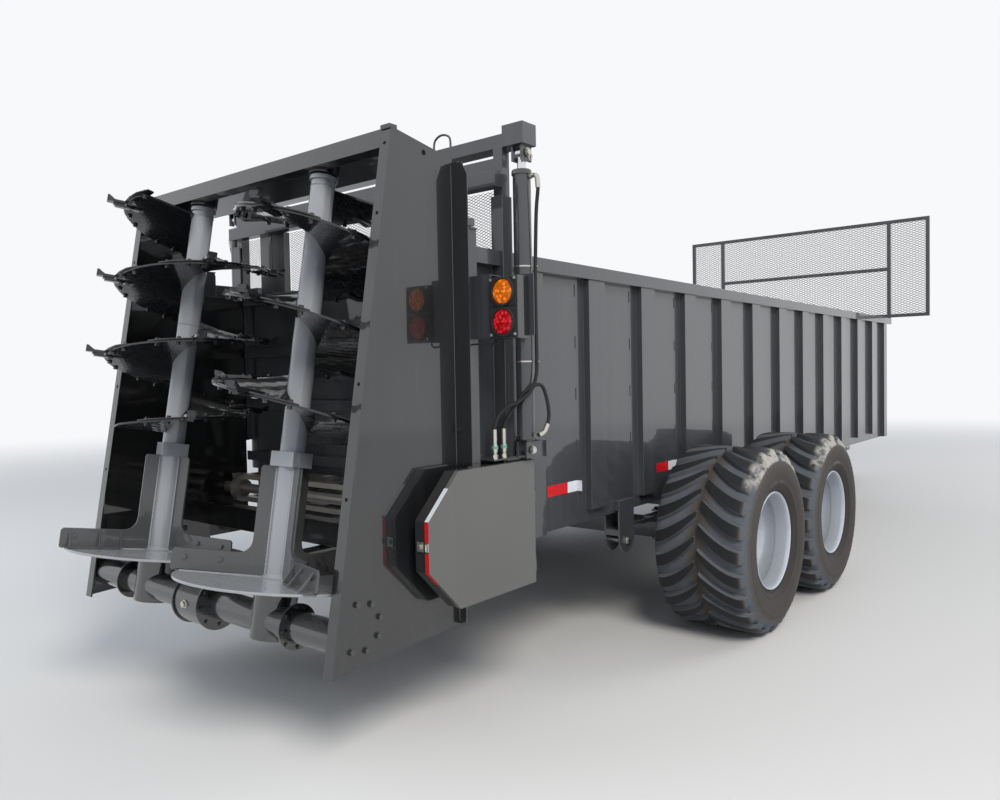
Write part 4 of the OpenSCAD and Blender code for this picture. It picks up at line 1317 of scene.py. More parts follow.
@dataclass
class Rotor(Turning):
    """One upright beater: tube, disc, fins with paddles, flighting and its knives."""

    side: Side
    turn: float
    spread: float = 520.0
    foot: float = -2720.0
    height: float = 735.0
    lean: float = 9.8
    length: float = 1875.0
    tube: float = 57.0
    disc: float = 450.0
    tip: float = 481.0
    flight: float = 385.0
    pitch: float = 400.0
    start: float = 620.0
    phase: float = 24.0
    paddles: int = 3
    knives: int = 12

    def place(self) -> Matrix:
        """Returns the rotor's place, with its axis along the local Z."""
        spot = Matrix.Translation((self.foot, self.side.value * self.spread, self.height))
        lean = Matrix.Rotation(math.radians(self.lean), 4, "Y")
        hand = MIRROR if self.side is Side.RIGHT else IDENTITY
        return spot @ lean @ hand @ Matrix.Rotation(math.radians(self.turn), 4, "Z")

    def body(self) -> str:
        """Returns the rotor's body."""
        return self.side.name.lower() + "_beater_rotor"

    def build(self) -> None:
        """Builds the whole rotor."""
        name = self.side.name.lower()
        # The core and the fin welds take the painted sunlit tone, the paddles the painted shaded tone.
        self.hang(self.core(), name + "_beater_core", SUNLIT_BEATER, [name + "_beater"])
        for part, make, finish in (("beater_paddles", self.paddle, SHADED_PADDLE),
                                   ("paddle_bolts", self.paddle_bolts, SHADED_PADDLE),
                                   ("fin_welds", self.fin_welds, SUNLIT_BEATER)):
            self.hang_ring(make(), f"{name}_{part}", finish, self.paddles)
        self.hang(self.ribbon(), name + "_flight_ribbon", FLIGHT, [name + "_flights"])
        spot = self.place() @ self.first_knife()
        for part, make in (("flight_knives", self.knife), ("knife_bolts", self.knife_bolts)):
            mesh = REPEAT.run(make(), FLIGHT, self.knives, turn=90, step=(0, 0, self.pitch / 4))
            finish_object(settled(mesh, spot), f"{name}_{part}", FLIGHT, self.body())

    def first_knife(self) -> Matrix:
        """Returns the first knife's turn and height on the rotor."""
        angle = 60.0
        rise = Matrix.Translation((0, 0, self.start + self.pitch * angle / 360))
        return rise @ Matrix.Rotation(math.radians(self.phase + angle), 4, "Z")

    def core(self) -> Mesh:
        """Makes the tube, the disc, the collar and the end flanges.

        Returns:
            The core, in the rotor's own millimetres.
        """
        shape = Shape()
        t = self.tube
        shape.lathe([(0, 0), (t + 14, 0), (t + 14, 8), (t + 2, 14), (t, 20), (t, self.length - 26),
                     (t + 9, self.length - 24), (t + 9, self.length - 4), (0, self.length)], sides=48)
        shape.lathe([(0, -12), (self.disc - 2, -12), (self.disc, -10), (self.disc, -2), (self.disc - 2, 0),
                     (0, 0)], sides=96)
        shape.lathe([(0, -50), (30, -50), (30, -12), (0, -12)], sides=24)
        top = self.length + 45
        shape.lathe([(0, self.length), (30, self.length), (30, top), (0, top)], sides=24)
        shape.block((-66, -66, 500), (66, 66, 568))
        for z in (560, 1210, 1820):
            shape.lathe([(t, z), (t + 3, z + 3), (t, z + 8)], sides=36)
        return shape.plain(1.2)

    def paddle(self) -> Mesh:
        """Makes one fin that runs out into a paddle, with its foot strip and its brace.

        Returns:
            The fin, in the rotor's own millimetres.
        """
        shape = Shape()
        fillet = [(190 + 60 * math.cos(math.radians(a)), 160 + 60 * math.sin(math.radians(a)))
                  for a in range(270, 179, -15)]
        shape.slab([(52, 0), (self.tip - 8, 0), (self.tip, 8), (self.tip, 88), (self.tip - 12, 100), *fillet,
                    (130, 488), (122, 500), (52, 500)], -5, 5, XZ)
        shape.slab([(190, -5), (462, -5), (462, 46), (205, 46)], 0.2, 9)
        turned = YZ @ Matrix.Scale(-1.0, 4, (1, 0, 0))
        shape.slab([(-5, 9), (-48, 9), (-5, 92)], 196, 205, turned)
        for x in (300, 436):
            shape.slab([(-5, 92), (-5, 78), (-52, 9), (-66, 9)], x, x + 8, turned)
        return shape.plain(1.2)

    def fin_welds(self) -> Mesh:
        """Makes the rippled weld beads of one fin and one paddle.

        Returns:
            The beads, in the rotor's own millimetres.
        """
        shape = Shape()
        for y in (6.0, -6.0):
            shape.weld((60, y, 6), (60, y, 498), 5.0, 20)
            shape.weld((70, y, 1), (440, y, 1), 3.6, 16)
        return shape.plain()

    def paddle_bolts(self) -> Mesh:
        """Makes the bolts that hold one paddle.

        Returns:
            The bolts, in the rotor's own millimetres.
        """
        shape = Shape()
        for x in (262, 420):
            shape.bolt((x, -5, 62), RIGHTWARD, 19, 8)
            shape.bolt((x, 5, 62), LEFTWARD, 19, 8)
        return shape.plain()

    def ribbon(self) -> Mesh:
        """Winds the flighting's plate around the tube and welds it on.

        Returns:
            The flighting, in the rotor's own millimetres.
        """
        steps, turns, stitch = 40, 3, 4
        n = steps * turns
        angles = [math.radians(self.phase + 360 * i / steps) for i in range(n + 1)]
        heights = [self.start + self.pitch * i / steps for i in range(n + 1)]
        rings = []
        for i, (a, z) in enumerate(zip(angles, heights)):
            edge = self.flight - (26 if i in (0, n) else 0)
            section = ((self.tube, z), (edge, z), (edge + 1, z + 5), (edge, z + 10), (self.tube, z + 10))
            rings.append([around(r, a, h) for r, h in section])
        shape = Shape()
        shape.loft(rings)
        for i in range(0, n, stitch):
            ends = [around(self.tube + 2, angles[k], heights[k] + 12) for k in (i, i + stitch)]
            shape.weld(ends[0], ends[1], 4.5, 12)
        return shape.plain(smooth=40)

    def knife(self) -> Mesh:
        """Makes one pointed arm with its tip and the wear strip along the flighting's edge.

        Returns:
            The knife, in its own millimetres.
        """
        shape = Shape()
        shape.slab([(262, -18), (300, -30), (425, -30), (452, -24), (470, -24), (479, -16), (479, 16),
                    (462, 24), (436, 30), (300, 32), (262, 20)], 10.2, 23)
        shape.slab([(300, -20), (440, -16), (440, 16), (300, 20)], -9, -0.3)
        shape.slab([(394, -20), (448, -16), (448, 16), (394, 20)], -0.3, 10.2)
        shape.slab([(440, 23), (479, 23), (479, 44), (470, 44)], -22, 22, XZ)
        steps, rings = 7, []
        for i in range(steps + 1):
            degrees = -36 + 72 * i / steps
            rise = self.pitch * degrees / 360
            trim = 12 if i in (0, steps) else 0
            section = ((332 + trim, 10.3), (396 - trim, 10.3), (399 - trim, 13), (396 - trim, 17),
                       (334 + trim, 17))
            rings.append([around(r, math.radians(degrees), h + rise) for r, h in section])
        shape.loft(rings)
        return shape.plain(smooth=30)

    def knife_bolts(self) -> Mesh:
        """Makes the bolts of one arm and its wear strip.

        Returns:
            The bolts, in the knife's own millimetres.
        """
        shape = Shape()
        shape.bolt((322, 0, 20), UP, 22, 9)
        for degrees in (-30, -14, 14, 30):
            a, rise = math.radians(degrees), self.pitch * degrees / 360
            shape.bolt(around(366, a, 17 + rise), UP, 20, 8)
            shape.bolt(around(366, a, rise - 0.5), DOWN, 20, 12)
        return shape.plain()


# Beater housing and drive


@dataclass
class BeaterHousing:
    """The leaning side plates and the hood round the beaters, with their welds and fasteners."""

    plate_y: float = 1065.0
    flange_y: float = 1035.0
    foot_x: float = -2870.2
    foot_z: float = 435.2
    head_x: float = -2480.0
    head_z: float = 2694.7
    front_x: float = -2108.0
    plate_bolts: tuple[tuple[float, float], ...] = (
        (-2734, 707), (-2657, 693), (-2611, 629), (-2624, 552), (-2690, 507), (-2769, 521))
    flange_holes: tuple[float, ...] = (2627, 2324, 1604, 1136)

    def edge(self, z: float) -> float:
        """Returns the rear edge's station at a height."""
        return self.foot_x + (z - self.foot_z) * (self.head_x - self.foot_x) / (self.head_z - self.foot_z)

    def build(self) -> None:
        """Dresses the housing."""
        rounded_copy("housing_sides", HOUSING, 1.5)
        rounded_copy("housing_hood", HOUSING, 1.5)
        inner = self.plate_y - 10
        welds = Shape()
        welds.weld((self.edge(450) + 12, inner, 450), (self.edge(2670) + 12, inner, 2670), 3.5, 14)
        welds.weld((-2468, inner, 2683), (-2112, inner, 2622), 3.5, 14)
        x, y = self.front_x - 1, self.plate_y + 1
        welds.weld((x, y, 482), (x, y, 2600), 3.5, 14)
        welds.block((-2488, 1008, 2688), (-2444, 1064, 2706))
        put(welds.both_sides(), "housing_welds", HOUSING, "housing_sides")
        bolts = Shape()
        for x, z in self.plate_bolts:
            bolts.bolt((x, self.plate_y, z), LEFTWARD, 24, 10)
        bolts.bolt((self.front_x, 1092, 1385), BACK, 24, 8)
        put(bolts.both_sides(), "housing_bolts", INSIDE, "housing_sides")
        flange = Shape()
        flange.slab([(1066, 1212), (1160, 1212), (1160, 2545), (1128, 2606), (1066, 2606)], -2106, -2101, YZ)
        flange = flange.both_sides()
        flange.slab([(1066, 650), (1160, 650), (1160, 1211), (1066, 1211)], -2106, -2101, YZ)
        put(flange, "housing_flanges", HOUSING, "housing_sides", 1.0)
        # Near-black discs where the flange and plate are pierced: painted shade.
        hole_shades = Shape()
        slope = Vector((self.head_x - self.foot_x, 0, self.head_z - self.foot_z)).normalized()
        out = Vector((-slope.z, 0, slope.x))
        for z in self.flange_holes:
            foot = Vector((self.edge(z), self.flange_y, z))
            hole_shades.rod(foot, foot + out * 0.8, 8, 16)
        hole_shades.rod((-2285, 1065, 2622), (-2285, 1065.8, 2622), 12, 16)
        put(hole_shades.both_sides(), "housing_holes", SHADE_BLACK, "housing_sides")


@dataclass
class GearTrain:
    """The cross tube under the beaters with its three gearboxes."""

    x: float = -2765.0
    z: float = 560.0
    tube: float = 70.0
    half: float = 1057.0
    spread: float = 520.0
    lean: float = 9.8
    neck_x: float = -2750.2

    def build(self) -> None:
        """Builds the gear train in place of its CAD node."""
        shape = Shape()
        axis, across = (self.x, 0, self.z), LEFTWARD
        half = self.half
        shape.lathe([(0, -half), (self.tube, -half), (self.tube, half), (0, half)], axis, across)
        shape.lathe([(0, -105), (106, -105), (115, -96), (115, 96), (106, 105), (0, 105)], axis, across)
        for y in (-112, 100):
            shape.lathe([(60, y), (124, y), (124, y + 12), (60, y + 12)], axis, across)
        shape.block((self.x - 15, -90, 500), (-2662, 90, 700))
        shape.lathe([(36, 0), (46, 0), (46, 44), (42, 50), (36, 50)], (-2650, 0, 675), AHEAD)
        shape.lathe([(36, -14), (62, -14), (62, 2), (36, 2)], (-2650, 0, 675), AHEAD)
        lean = (math.sin(math.radians(self.lean)), 0, math.cos(math.radians(self.lean)))
        for side in Side:
            y = side.value * self.spread
            end = side.value * self.half
            shape.block((self.x - 58, end - 6, self.z - 75), (self.x + 110, end + 6, self.z + 75))
            shape.lathe([(0, -88), (92, -88), (98, -82), (98, 132), (93, 142), (74, 156), (32, 156), (32, 20),
                         (0, 20)], (self.neck_x, y, self.z), lean, 48)
            flange = (self.x, y + side.value * 190, self.z)
            shape.lathe([(60, -6), (100, -6), (100, 6), (60, 6)], flange, across, 40)
        put(shape, "gear_train_dressed", INSIDE, "beater_gear_train", 2.0, ["beater_gear_train"])
        for side in Side:
            for name, y, radius in (("tube_flange", self.spread + 197, 86), ("middle_gearbox", 112, 98)):
                bolt_ring(f"{name}_bolts_{side.name.lower()}", INSIDE, "beater_gear_train",
                          (self.x, side.value * y, self.z), (0, side.value, 0), radius, 8, 17)
        plug = Shape()
        plug.bolt((self.x - 115, 0, self.z + 8), BACK, 30, 12)
        put(plug, "gearbox_plug", ZINC, "beater_gear_train")


@dataclass
class DriveGuard:
    """The slanted guard over the apron's drive, with its lid, latch and reflecting tapes."""

    rear: float = -2452.0
    head: float = 1210.0
    foot: float = 598.0
    slant: float = 196.0
    seam_y: float = -1183.3
    lid_y: float = -1207.3

    def tape(self, shape: Shape, start: tuple[float, float], end: tuple[float, float]) -> None:
        """Lays a strip of tape on the lid's rim.

        Args:
            shape: The shape that the strip is added to.
            start: One end as station and height.
            end: The other end.
        """
        a, b = Vector(start), Vector(end)
        way = (b - a).normalized()
        out = Vector((-way.y, way.x))
        if out.dot((a + b) / 2 - Vector((-2072, 904))) < 0:
            out = -out
        low, high = sorted((self.lid_y + 0.8, self.seam_y - 0.8))
        shape.slab([tuple(a), tuple(b), tuple(b + out), tuple(a + out)], low, high, XZ)

    def build(self) -> None:
        """Dresses the guard."""
        rounded_copy("guard_box", HOUSING, 2.5)
        rounded_copy("guard_lid", GUARD, 3.0)
        upper, lower = self.head - self.slant, self.foot + self.slant
        red, white = Shape(), Shape()
        self.tape(red, (self.rear, upper - 2), (self.rear, upper - 86))
        self.tape(red, (self.rear, lower + 86), (self.rear, lower + 1))
        self.tape(red, (self.rear, lower), (self.rear + 0.31 * self.slant, lower - 0.31 * self.slant))
        self.tape(white, (self.rear, upper), (self.rear + 0.65 * self.slant, upper + 0.65 * self.slant))
        put(red, "guard_red_tape", RED_TAPE, "guard_lid")
        put(white, "guard_white_tape", WHITE_TAPE, "guard_lid")
        latch = Shape()
        latch.block((self.rear - 5, -1206, 886), (self.rear, -1188, 924))
        latch.rod((self.rear - 10, -1198, 890), (self.rear - 10, -1198, 920), 4, 12)
        put(latch, "guard_latch_keeper", ZINC, "guard_lid", 0.8)
        base = Shape()
        base.block((self.rear - 3, -1176, 884), (self.rear + 2, -1138, 926))
        base.bolt((self.rear - 3, -1158, 905), BACK, 18, 8)
        put(base, "guard_latch", ZINC, "guard_box", 0.8)
        # A near-black band in the gap between box and lid: painted shade.
        gap_shade = Shape()
        grown = [(-1693, 599), (-1693, 1209), (-2256, 1209), (-2451, 1014), (-2451, 794), (-2256, 599)]
        gap_shade.slab(grown, -1183.0, -1179.5, XZ)
        put(gap_shade, "guard_seal", SHADE_BLACK, "guard_box")


# Box, frame and gate


@dataclass
class BoxBody:
    """The ribbed box: rounded plates, stitched welds and the reflecting tapes."""

    wall_y: float = 1065.0
    first_rib: float = -1004.0
    rib_pitch: float = 612.0
    ribs: int = 11
    rib_width: float = 175.0

    def build(self) -> None:
        """Dresses the box."""
        for node in ("left_wall", "right_wall", "front_wall", "floor", "top_rails", "chassis"):
            rounded_copy(node, CHARCOAL, 2.5)
        for side in Side:
            for edge in (-1, 1):
                bead = Shape()
                x = self.first_rib + edge * (self.rib_width / 2 + 1)
                y = side.value * (self.wall_y + 1)
                bead.weld((x, y, 900), (x, y, 970), 3.2, 11)
                name = f"rib_welds_{side.name.lower()}_{'front' if edge > 0 else 'rear'}"
                put_row(bead, name, CHARCOAL, "floor", self.ribs, (self.rib_pitch, 0, 0), 5, (0, 0, 290))
        self.lay_tapes()

    def lay_tapes(self) -> None:
        """Lays the red and white tapes between the ribs."""
        red, white = Shape(), Shape()
        y = self.wall_y
        for start, change, end in ((-1385, -1191, -1091.5), (-172, 22, 131.5)):
            red.block((start, y, 966), (change, y + 0.8, 1026))
            white.block((change, y, 966), (end, y + 0.8, 1026))
            white.block((end - 0.9, y, 966), (end - 0.1, y + 31, 1026))
        put(red.both_sides(), "side_red_tape", RED_TAPE, "floor")
        put(white.both_sides(), "side_white_tape", WHITE_TAPE, "floor")


@dataclass
class RearFrame:
    """The frame that guides the gate, with caps and stub blocks on its posts."""

    def build(self) -> None:
        """Dresses the rear frame."""
        rounded_copy("rear_frame", FRAME, 2.5)
        shape = Shape()
        shape.block((-2104, 1064, 2310), (-2001, 1129, 2318))
        shape.block((-2100, 1096, 2318), (-2046, 1150, 2352))
        shape.weld((-2004, 1066, 700), (-2004, 1066, 2300), 3.2, 16)
        shape.weld((-1822, 1066, 700), (-1822, 1066, 2150), 3.2, 16)
        put(shape.both_sides(), "rear_frame_caps", CHARCOAL, "rear_frame", 1.5)


@dataclass
class Gate:
    """The lifting gate: plate, frame, cylinder rods, pins with their clips and the grab hoop."""

    plate_x: float = -1770.0
    pin: Point = (-1745.0, 1200.0, 2700.0)

    def build(self) -> None:
        """Dresses the gate."""
        plate = Shape()
        plate.block((self.plate_x, -1068, 1042), (self.plate_x + 10, 1068, 2165))
        put(plate, "gate_plate", CHARCOAL, "gate_panel", 1.5, ["gate_panel"])
        rounded_copy("gate_frame", CHARCOAL, 2.5)
        hoop = Shape()
        bend = [(-629, 2798), (-629, 2845), (-640, 2872), (-673, 2889), (-715, 2884), (-743, 2859),
                (-745, 2798)]
        hoop.hose([(-1750, y, z) for y, z in bend], 6, 10)
        for s in (-1, 1):
            for z in (1132, 1472, 1812, 2135):
                hoop.weld((self.plate_x - 1, s * 60, z + 30), (self.plate_x - 1, s * 900, z + 30), 3.0, 22)
        put(hoop, "gate_hoop", CHARCOAL, "gate_frame")
        pins = Shape()
        x, y, z = self.pin
        pins.lathe([(13, 0), (21, 0), (21, 4), (13, 4)], (x, y + 38, z), LEFTWARD, 24)
        pins.lathe([(0, 0), (16, 0), (16, 6), (12, 9), (0, 9)], (x, y + 45, z), LEFTWARD, 24)
        pins.rod((x, y + 41, z - 20), (x, y + 41, z + 22), 2.5, 8)
        eighths = [k / 8 * math.tau for k in range(8)]
        ring = [(x + 15 * math.cos(a) + 14, y + 46, z - 22 + 15 * math.sin(a)) for a in eighths]
        pins.hose(ring, 2.2, 8)
        put(pins.both_sides(), "gate_pin_clips", ZINC, "gate_rods")
        rounded_copy("gate_rods", CHROME)


@dataclass
class GateCylinders:
    """The two gate cylinders with their hoses, elbows, ties and couplers."""

    x: float = -1745.0
    y: float = 1200.0
    coupler_y: float = 1150.0
    couplers: tuple[float, float] = (-1930.0, -1860.0)
    upper: tuple[Point, ...] = (
        (-1745, 1270.8, 2585), (-1745, 1280.5, 2585), (-1742, 1290.5, 2571), (-1737, 1290.5, 2525),
        (-1731, 1274.5, 2425), (-1727, 1264.5, 2285), (-1727, 1258.5, 2085), (-1727, 1258.5, 1885),
        (-1729, 1260.5, 1705), (-1741, 1264.5, 1625), (-1775, 1258.5, 1555), (-1825, 1224.5, 1505),
        (-1875, 1184.5, 1475), (-1915, 1160, 1429), (-1930, 1150, 1374), (-1930, 1150, 1334))
    lower: tuple[Point, ...] = (
        (-1745, 1270.8, 1337), (-1745, 1280.5, 1337), (-1723, 1294.5, 1353), (-1703, 1298.5, 1387),
        (-1691, 1300.5, 1437), (-1701, 1294.5, 1517), (-1729, 1284.5, 1577), (-1775, 1254.5, 1569),
        (-1811, 1214.5, 1517), (-1848, 1156, 1404), (-1860, 1150, 1364), (-1860, 1150, 1334))

    def build(self) -> None:
        """Dresses the cylinders."""
        rounded_copy("gate_cylinders", CHARCOAL, 1.5)
        axis = (self.x, self.y, 0)
        glands = Shape()
        glands.lathe([(24, 2596), (50, 2596), (50, 2612), (46, 2620), (24, 2620)], axis)
        glands.lathe([(44, 1316), (49, 1316), (49, 1330), (44, 1330)], axis)
        put(glands.both_sides(), "cylinder_glands", INSIDE, "gate_cylinders", 0.8)
        ties = Shape()
        for z in (2150, 1690):
            ties.lathe([(44.6, z), (47, z), (47, z + 7), (44.6, z + 7)], axis, sides=32)
            ties.rod((self.x + 16, 1240, z + 3), (self.x + 18, 1272, z + 3), 3.4, 8)
        put(ties.both_sides(), "hose_ties", ZINC, "gate_cylinders")
        hoses = Shape()
        hoses.hose(self.upper, 9)
        hoses.hose(self.lower, 9)
        put(hoses.both_sides(), "gate_hoses", HOSE, "hoses", 0.0, ["hoses"])
        fittings = Shape()
        for x in self.couplers:
            centre = (x, self.coupler_y, 1230)
            fittings.lathe([(0, 0), (15, 0), (15, 22), (11, 24), (11, 32), (14, 34), (14, 68), (11, 72),
                            (11, 103.7), (0, 103.7)], centre, sides=24)
            fittings.rod((x, self.coupler_y, 1236), (x, self.coupler_y, 1250), 17.5, 6)
            fittings.rod((x, self.coupler_y, 1318), (x, self.coupler_y, 1372), 12, 20)
        for path in (self.upper, self.lower):
            fittings.hose(path[1:4], 12.5, 14)
        for z in (2585, 1337):
            fittings.rod((self.x, 1250.6, z), (self.x, 1262, z), 14, 6)
            fittings.rod((self.x, 1262, z), (self.x, 1276, z), 11, 20)
        fittings.lathe([(13, 0), (20, 0), (20, 4), (13, 4)], (self.x, self.y + 38, 1262), LEFTWARD, 24)
        fittings.lathe([(0, 0), (16, 0), (16, 7), (0, 7)], (self.x, self.y + 44, 1262), LEFTWARD, 24)
        fittings.rod((self.x, self.y - 52, 1262), (self.x, self.y - 44, 1262), 16, 20)
        put(fittings.both_sides(), "hydraulic_fittings", ZINC, "hose_fittings", 0.0, ["hose_fittings"])
        bands = Shape()
        for x in self.couplers:
            bands.lathe([(14, 0), (16.5, 0), (16.5, 14), (14, 14)], (x, self.coupler_y, 1278), sides=24)
        put(bands.both_sides(), "coupler_bands", BAND, "hose_fittings")
        shelf = Shape()
        shelf.block((-1960, 1065, 1222), (-1830, 1170, 1230))
        put(shelf.both_sides(), "coupler_shelf", CHARCOAL, "hose_fittings", 1.5)


@dataclass
class Lamps:
    """The rear lamps: two round lenses in a rubber frame each side, on a sheet bracket."""

    x: float = -2072.0
    y: float = 1331.0
    amber_z: float = 2002.0
    red_z: float = 1867.0
    lens: float = 56.0

    def lenses(self, name: str, z: float, glass: Lens, dot: Lens, node: str) -> None:
        """Makes the lenses of one colour with their diodes.

        Args:
            name: The pieces' name.
            z: The lenses' height.
            glass: The lens's finish.
            dot: The diodes' finish.
            node: The CAD node that the lenses stand for.
        """
        shape = Shape()
        shape.lathe([(0, 0), (self.lens, 0), (self.lens, 5), (52, 9), (34, 11), (0, 11.6)],
                    (self.x, self.y, z), BACK, 40)
        put(shape.both_sides(), name + "_lens", glass, node, 0.0, [node])
        dots = Shape()
        for ring, count in ((0.0, 1), (19.0, 6), (38.0, 12)):
            for i in range(count):
                a = math.tau * i / count
                spot = (self.x - 9.6 + 0.05 * ring, self.y + ring * math.cos(a), z + ring * math.sin(a))
                dots.lathe([(0, 0), (5.4, 0), (4.4, 2.2), (0, 3.2)], spot, BACK, 8)
        put(dots.both_sides(), name + "_diodes", dot, node)

    def build(self) -> None:
        """Dresses the lamps."""
        rounded_copy("lamp_boxes", INSIDE, 6.0)
        self.lenses("amber", self.amber_z, AMBER, AMBER_DOT, "amber_lenses")
        self.lenses("red", self.red_z, RED, RED_DOT, "red_lenses")
        frames = Shape()
        for z in (self.amber_z, self.red_z):
            frames.block((self.x - 4, self.y - 76, z - 64), (self.x, self.y + 76, z + 64))
            frames.lathe([(56.5, 0), (67, 0), (67, 7), (63, 11), (57, 11)], (self.x - 2, self.y, z), BACK, 40)
        put(frames.both_sides(), "lamp_frames", HOSE, "lamp_boxes", 1.2)
        screws = Shape()
        for z in (self.red_z - 56, self.amber_z + 56):
            for y in (self.y - 68, self.y + 68):
                screws.bolt((self.x - 4, y, z), BACK, 10, 4)
        put(screws.both_sides(), "lamp_screws", ZINC, "lamp_boxes")
        bracket = Shape()
        bracket.block((-2057, 1125, 1797), (-2052.5, 1249.5, 2088))
        bracket.block((-2045.7, 1125, 2082), (-1986, 1248, 2086))
        bracket.block((-1991, 1125, 1806), (-1986, 1440, 2081.7))
        bracket.block((-2045.7, 1125, 1800), (-1986, 1248, 1804))
        put(bracket.both_sides(), "lamp_bracket", CHARCOAL, "lamp_boxes", 1.0)
        wire = Shape()
        wire.hose([(-2040, 1275, 1796), (-2040, 1270, 1778), (-2056, 1235, 1768), (-2064, 1180, 1774),
                   (-2064, 1126, 1772)], 4.5, 8)
        put(wire.both_sides(), "lamp_wire", HOSE, "lamp_boxes")


# Running gear and front


@dataclass
class Suspension:
    """The leaf springs with their clamps, pins and nuts."""

    tandem: float = 1210.0
    spring_y: float = 1045.0
    hangers: tuple[float, ...] = (-600.0, 605.0, 1810.0)

    def build(self) -> None:
        """Dresses the suspension."""
        for node, finish in (("axles", CHARCOAL), ("springs", INSIDE), ("spring_hangers", CHARCOAL)):
            rounded_copy(node, finish, 2.0)
        clamp = Shape()
        for y in (self.spring_y - 47, self.spring_y + 47):
            for x in (-48, 48):
                clamp.rod((x, y, 498), (x, y, 712), 8, 14)
                clamp.rod((x, y, 504), (x, y, 516), 15, 6)
        for x in (-48, 48):
            clamp.hose([(x, self.spring_y - 47, 706), (x, self.spring_y - 44, 716), (x, self.spring_y, 719),
                        (x, self.spring_y + 44, 716), (x, self.spring_y + 47, 706)], 8, 12)
        clamp.block((-72, self.spring_y - 60, 693), (72, self.spring_y + 60, 705))
        clamp.block((-72, self.spring_y - 60, 512), (72, self.spring_y + 60, 524))
        put_row(clamp.both_sides(), "spring_clamps", INSIDE, "springs", 2, (self.tandem, 0, 0))
        pins = Shape()
        for x in self.hangers:
            pins.rod((x, 988, 600), (x, 1102, 600), 16, 20)
            pins.bolt((x, 1100, 600), LEFTWARD, 36, 14)
            pins.bolt((x, 990, 600), RIGHTWARD, 36, 10)
        put(pins.both_sides(), "spring_pins", ZINC, "spring_hangers")


@dataclass
class Apron:
    """The apron: sprocket shafts, link plates on the four strands, and the finish of the CAD slats."""

    start: float = -1890.0
    pitch: float = 75.0
    links: int = 100
    strands: tuple[float, ...] = (333.0, 888.0)

    def build(self) -> None:
        """Dresses the apron."""
        rounded_copy("apron_shafts", WORN, 1.0)
        link = Shape()
        oval = [(-32, -8), (-22, -15), (22, -15), (32, -8), (32, 8), (22, 15), (-22, 15), (-32, 8)]
        for strand in self.strands:
            for y in (strand - 25, strand + 20):
                link.slab([(self.start + u, 1015 + v) for u, v in oval], y, y + 5, XZ)
        put_row(link.both_sides(), "apron_links", CHAIN, "apron", self.links, (self.pitch, 0, 0), 2,
                (0, 0, -140))
        slats = frame["nodes"]["apron"].data.materials
        slats.clear()
        slats.append(CHAIN.material())


@dataclass
class Front:
    """The drawbar, hitch, jack and the shaft that drives the beaters."""

    jack: tuple[float, float] = (7050.0, 370.0)

    def build(self) -> None:
        """Dresses the front."""
        for node in ("drawbar", "hitch", "jack_tube"):
            rounded_copy(node, CHARCOAL, 3.0)
        rounded_copy("jack_leg", ZINC)
        rounded_copy("driveline", INSIDE, 1.0)
        x, y = self.jack
        crank = Shape()
        head = [(0, 1040), (50, 1040), (50, 1052), (20, 1060), (20, 1078), (0, 1078)]
        crank.lathe(head, (x, y, 0), sides=32)
        bend = [(8, 1066), (60, 1066), (150, 1066), (176, 1074), (180, 1100), (180, 1160)]
        crank.hose([(x, y + out, z) for out, z in bend], 8, 12)
        crank.rod((x, y + 180, 1096), (x, y + 180, 1176), 15, 20)
        put(crank, "jack_crank", INSIDE, "jack_tube", 0.8)
        pins = Shape()
        pins.rod((x - 62, y, 420), (x - 46, y, 420), 11, 20)
        pins.rod((x + 46, y, 420), (x + 62, y, 420), 11, 20)
        eighths = [k * math.tau / 8 for k in range(8)]
        ring = [(x - 61.9, y + 14 * math.cos(a), 406 + 14 * math.sin(a)) for a in eighths]
        pins.hose(ring, 2.5, 8)
        for s in (-1, 1):
            for z in (452, 508):
                for step in (0, 60):
                    pins.bolt((7660 + step, s * 130, z), (0, s, 0), 26, 12)
        put(pins, "front_pins", ZINC, "drawbar")
        welds = Shape()
        for edge in (-1, 1):
            welds.weld((5861, 560 + edge * 45, 728), (5861, 560 + edge * 45, 862), 4, 12)
        put(welds.both_sides(), "drawbar_welds", CHARCOAL, "drawbar")


# Screens of expanded metal


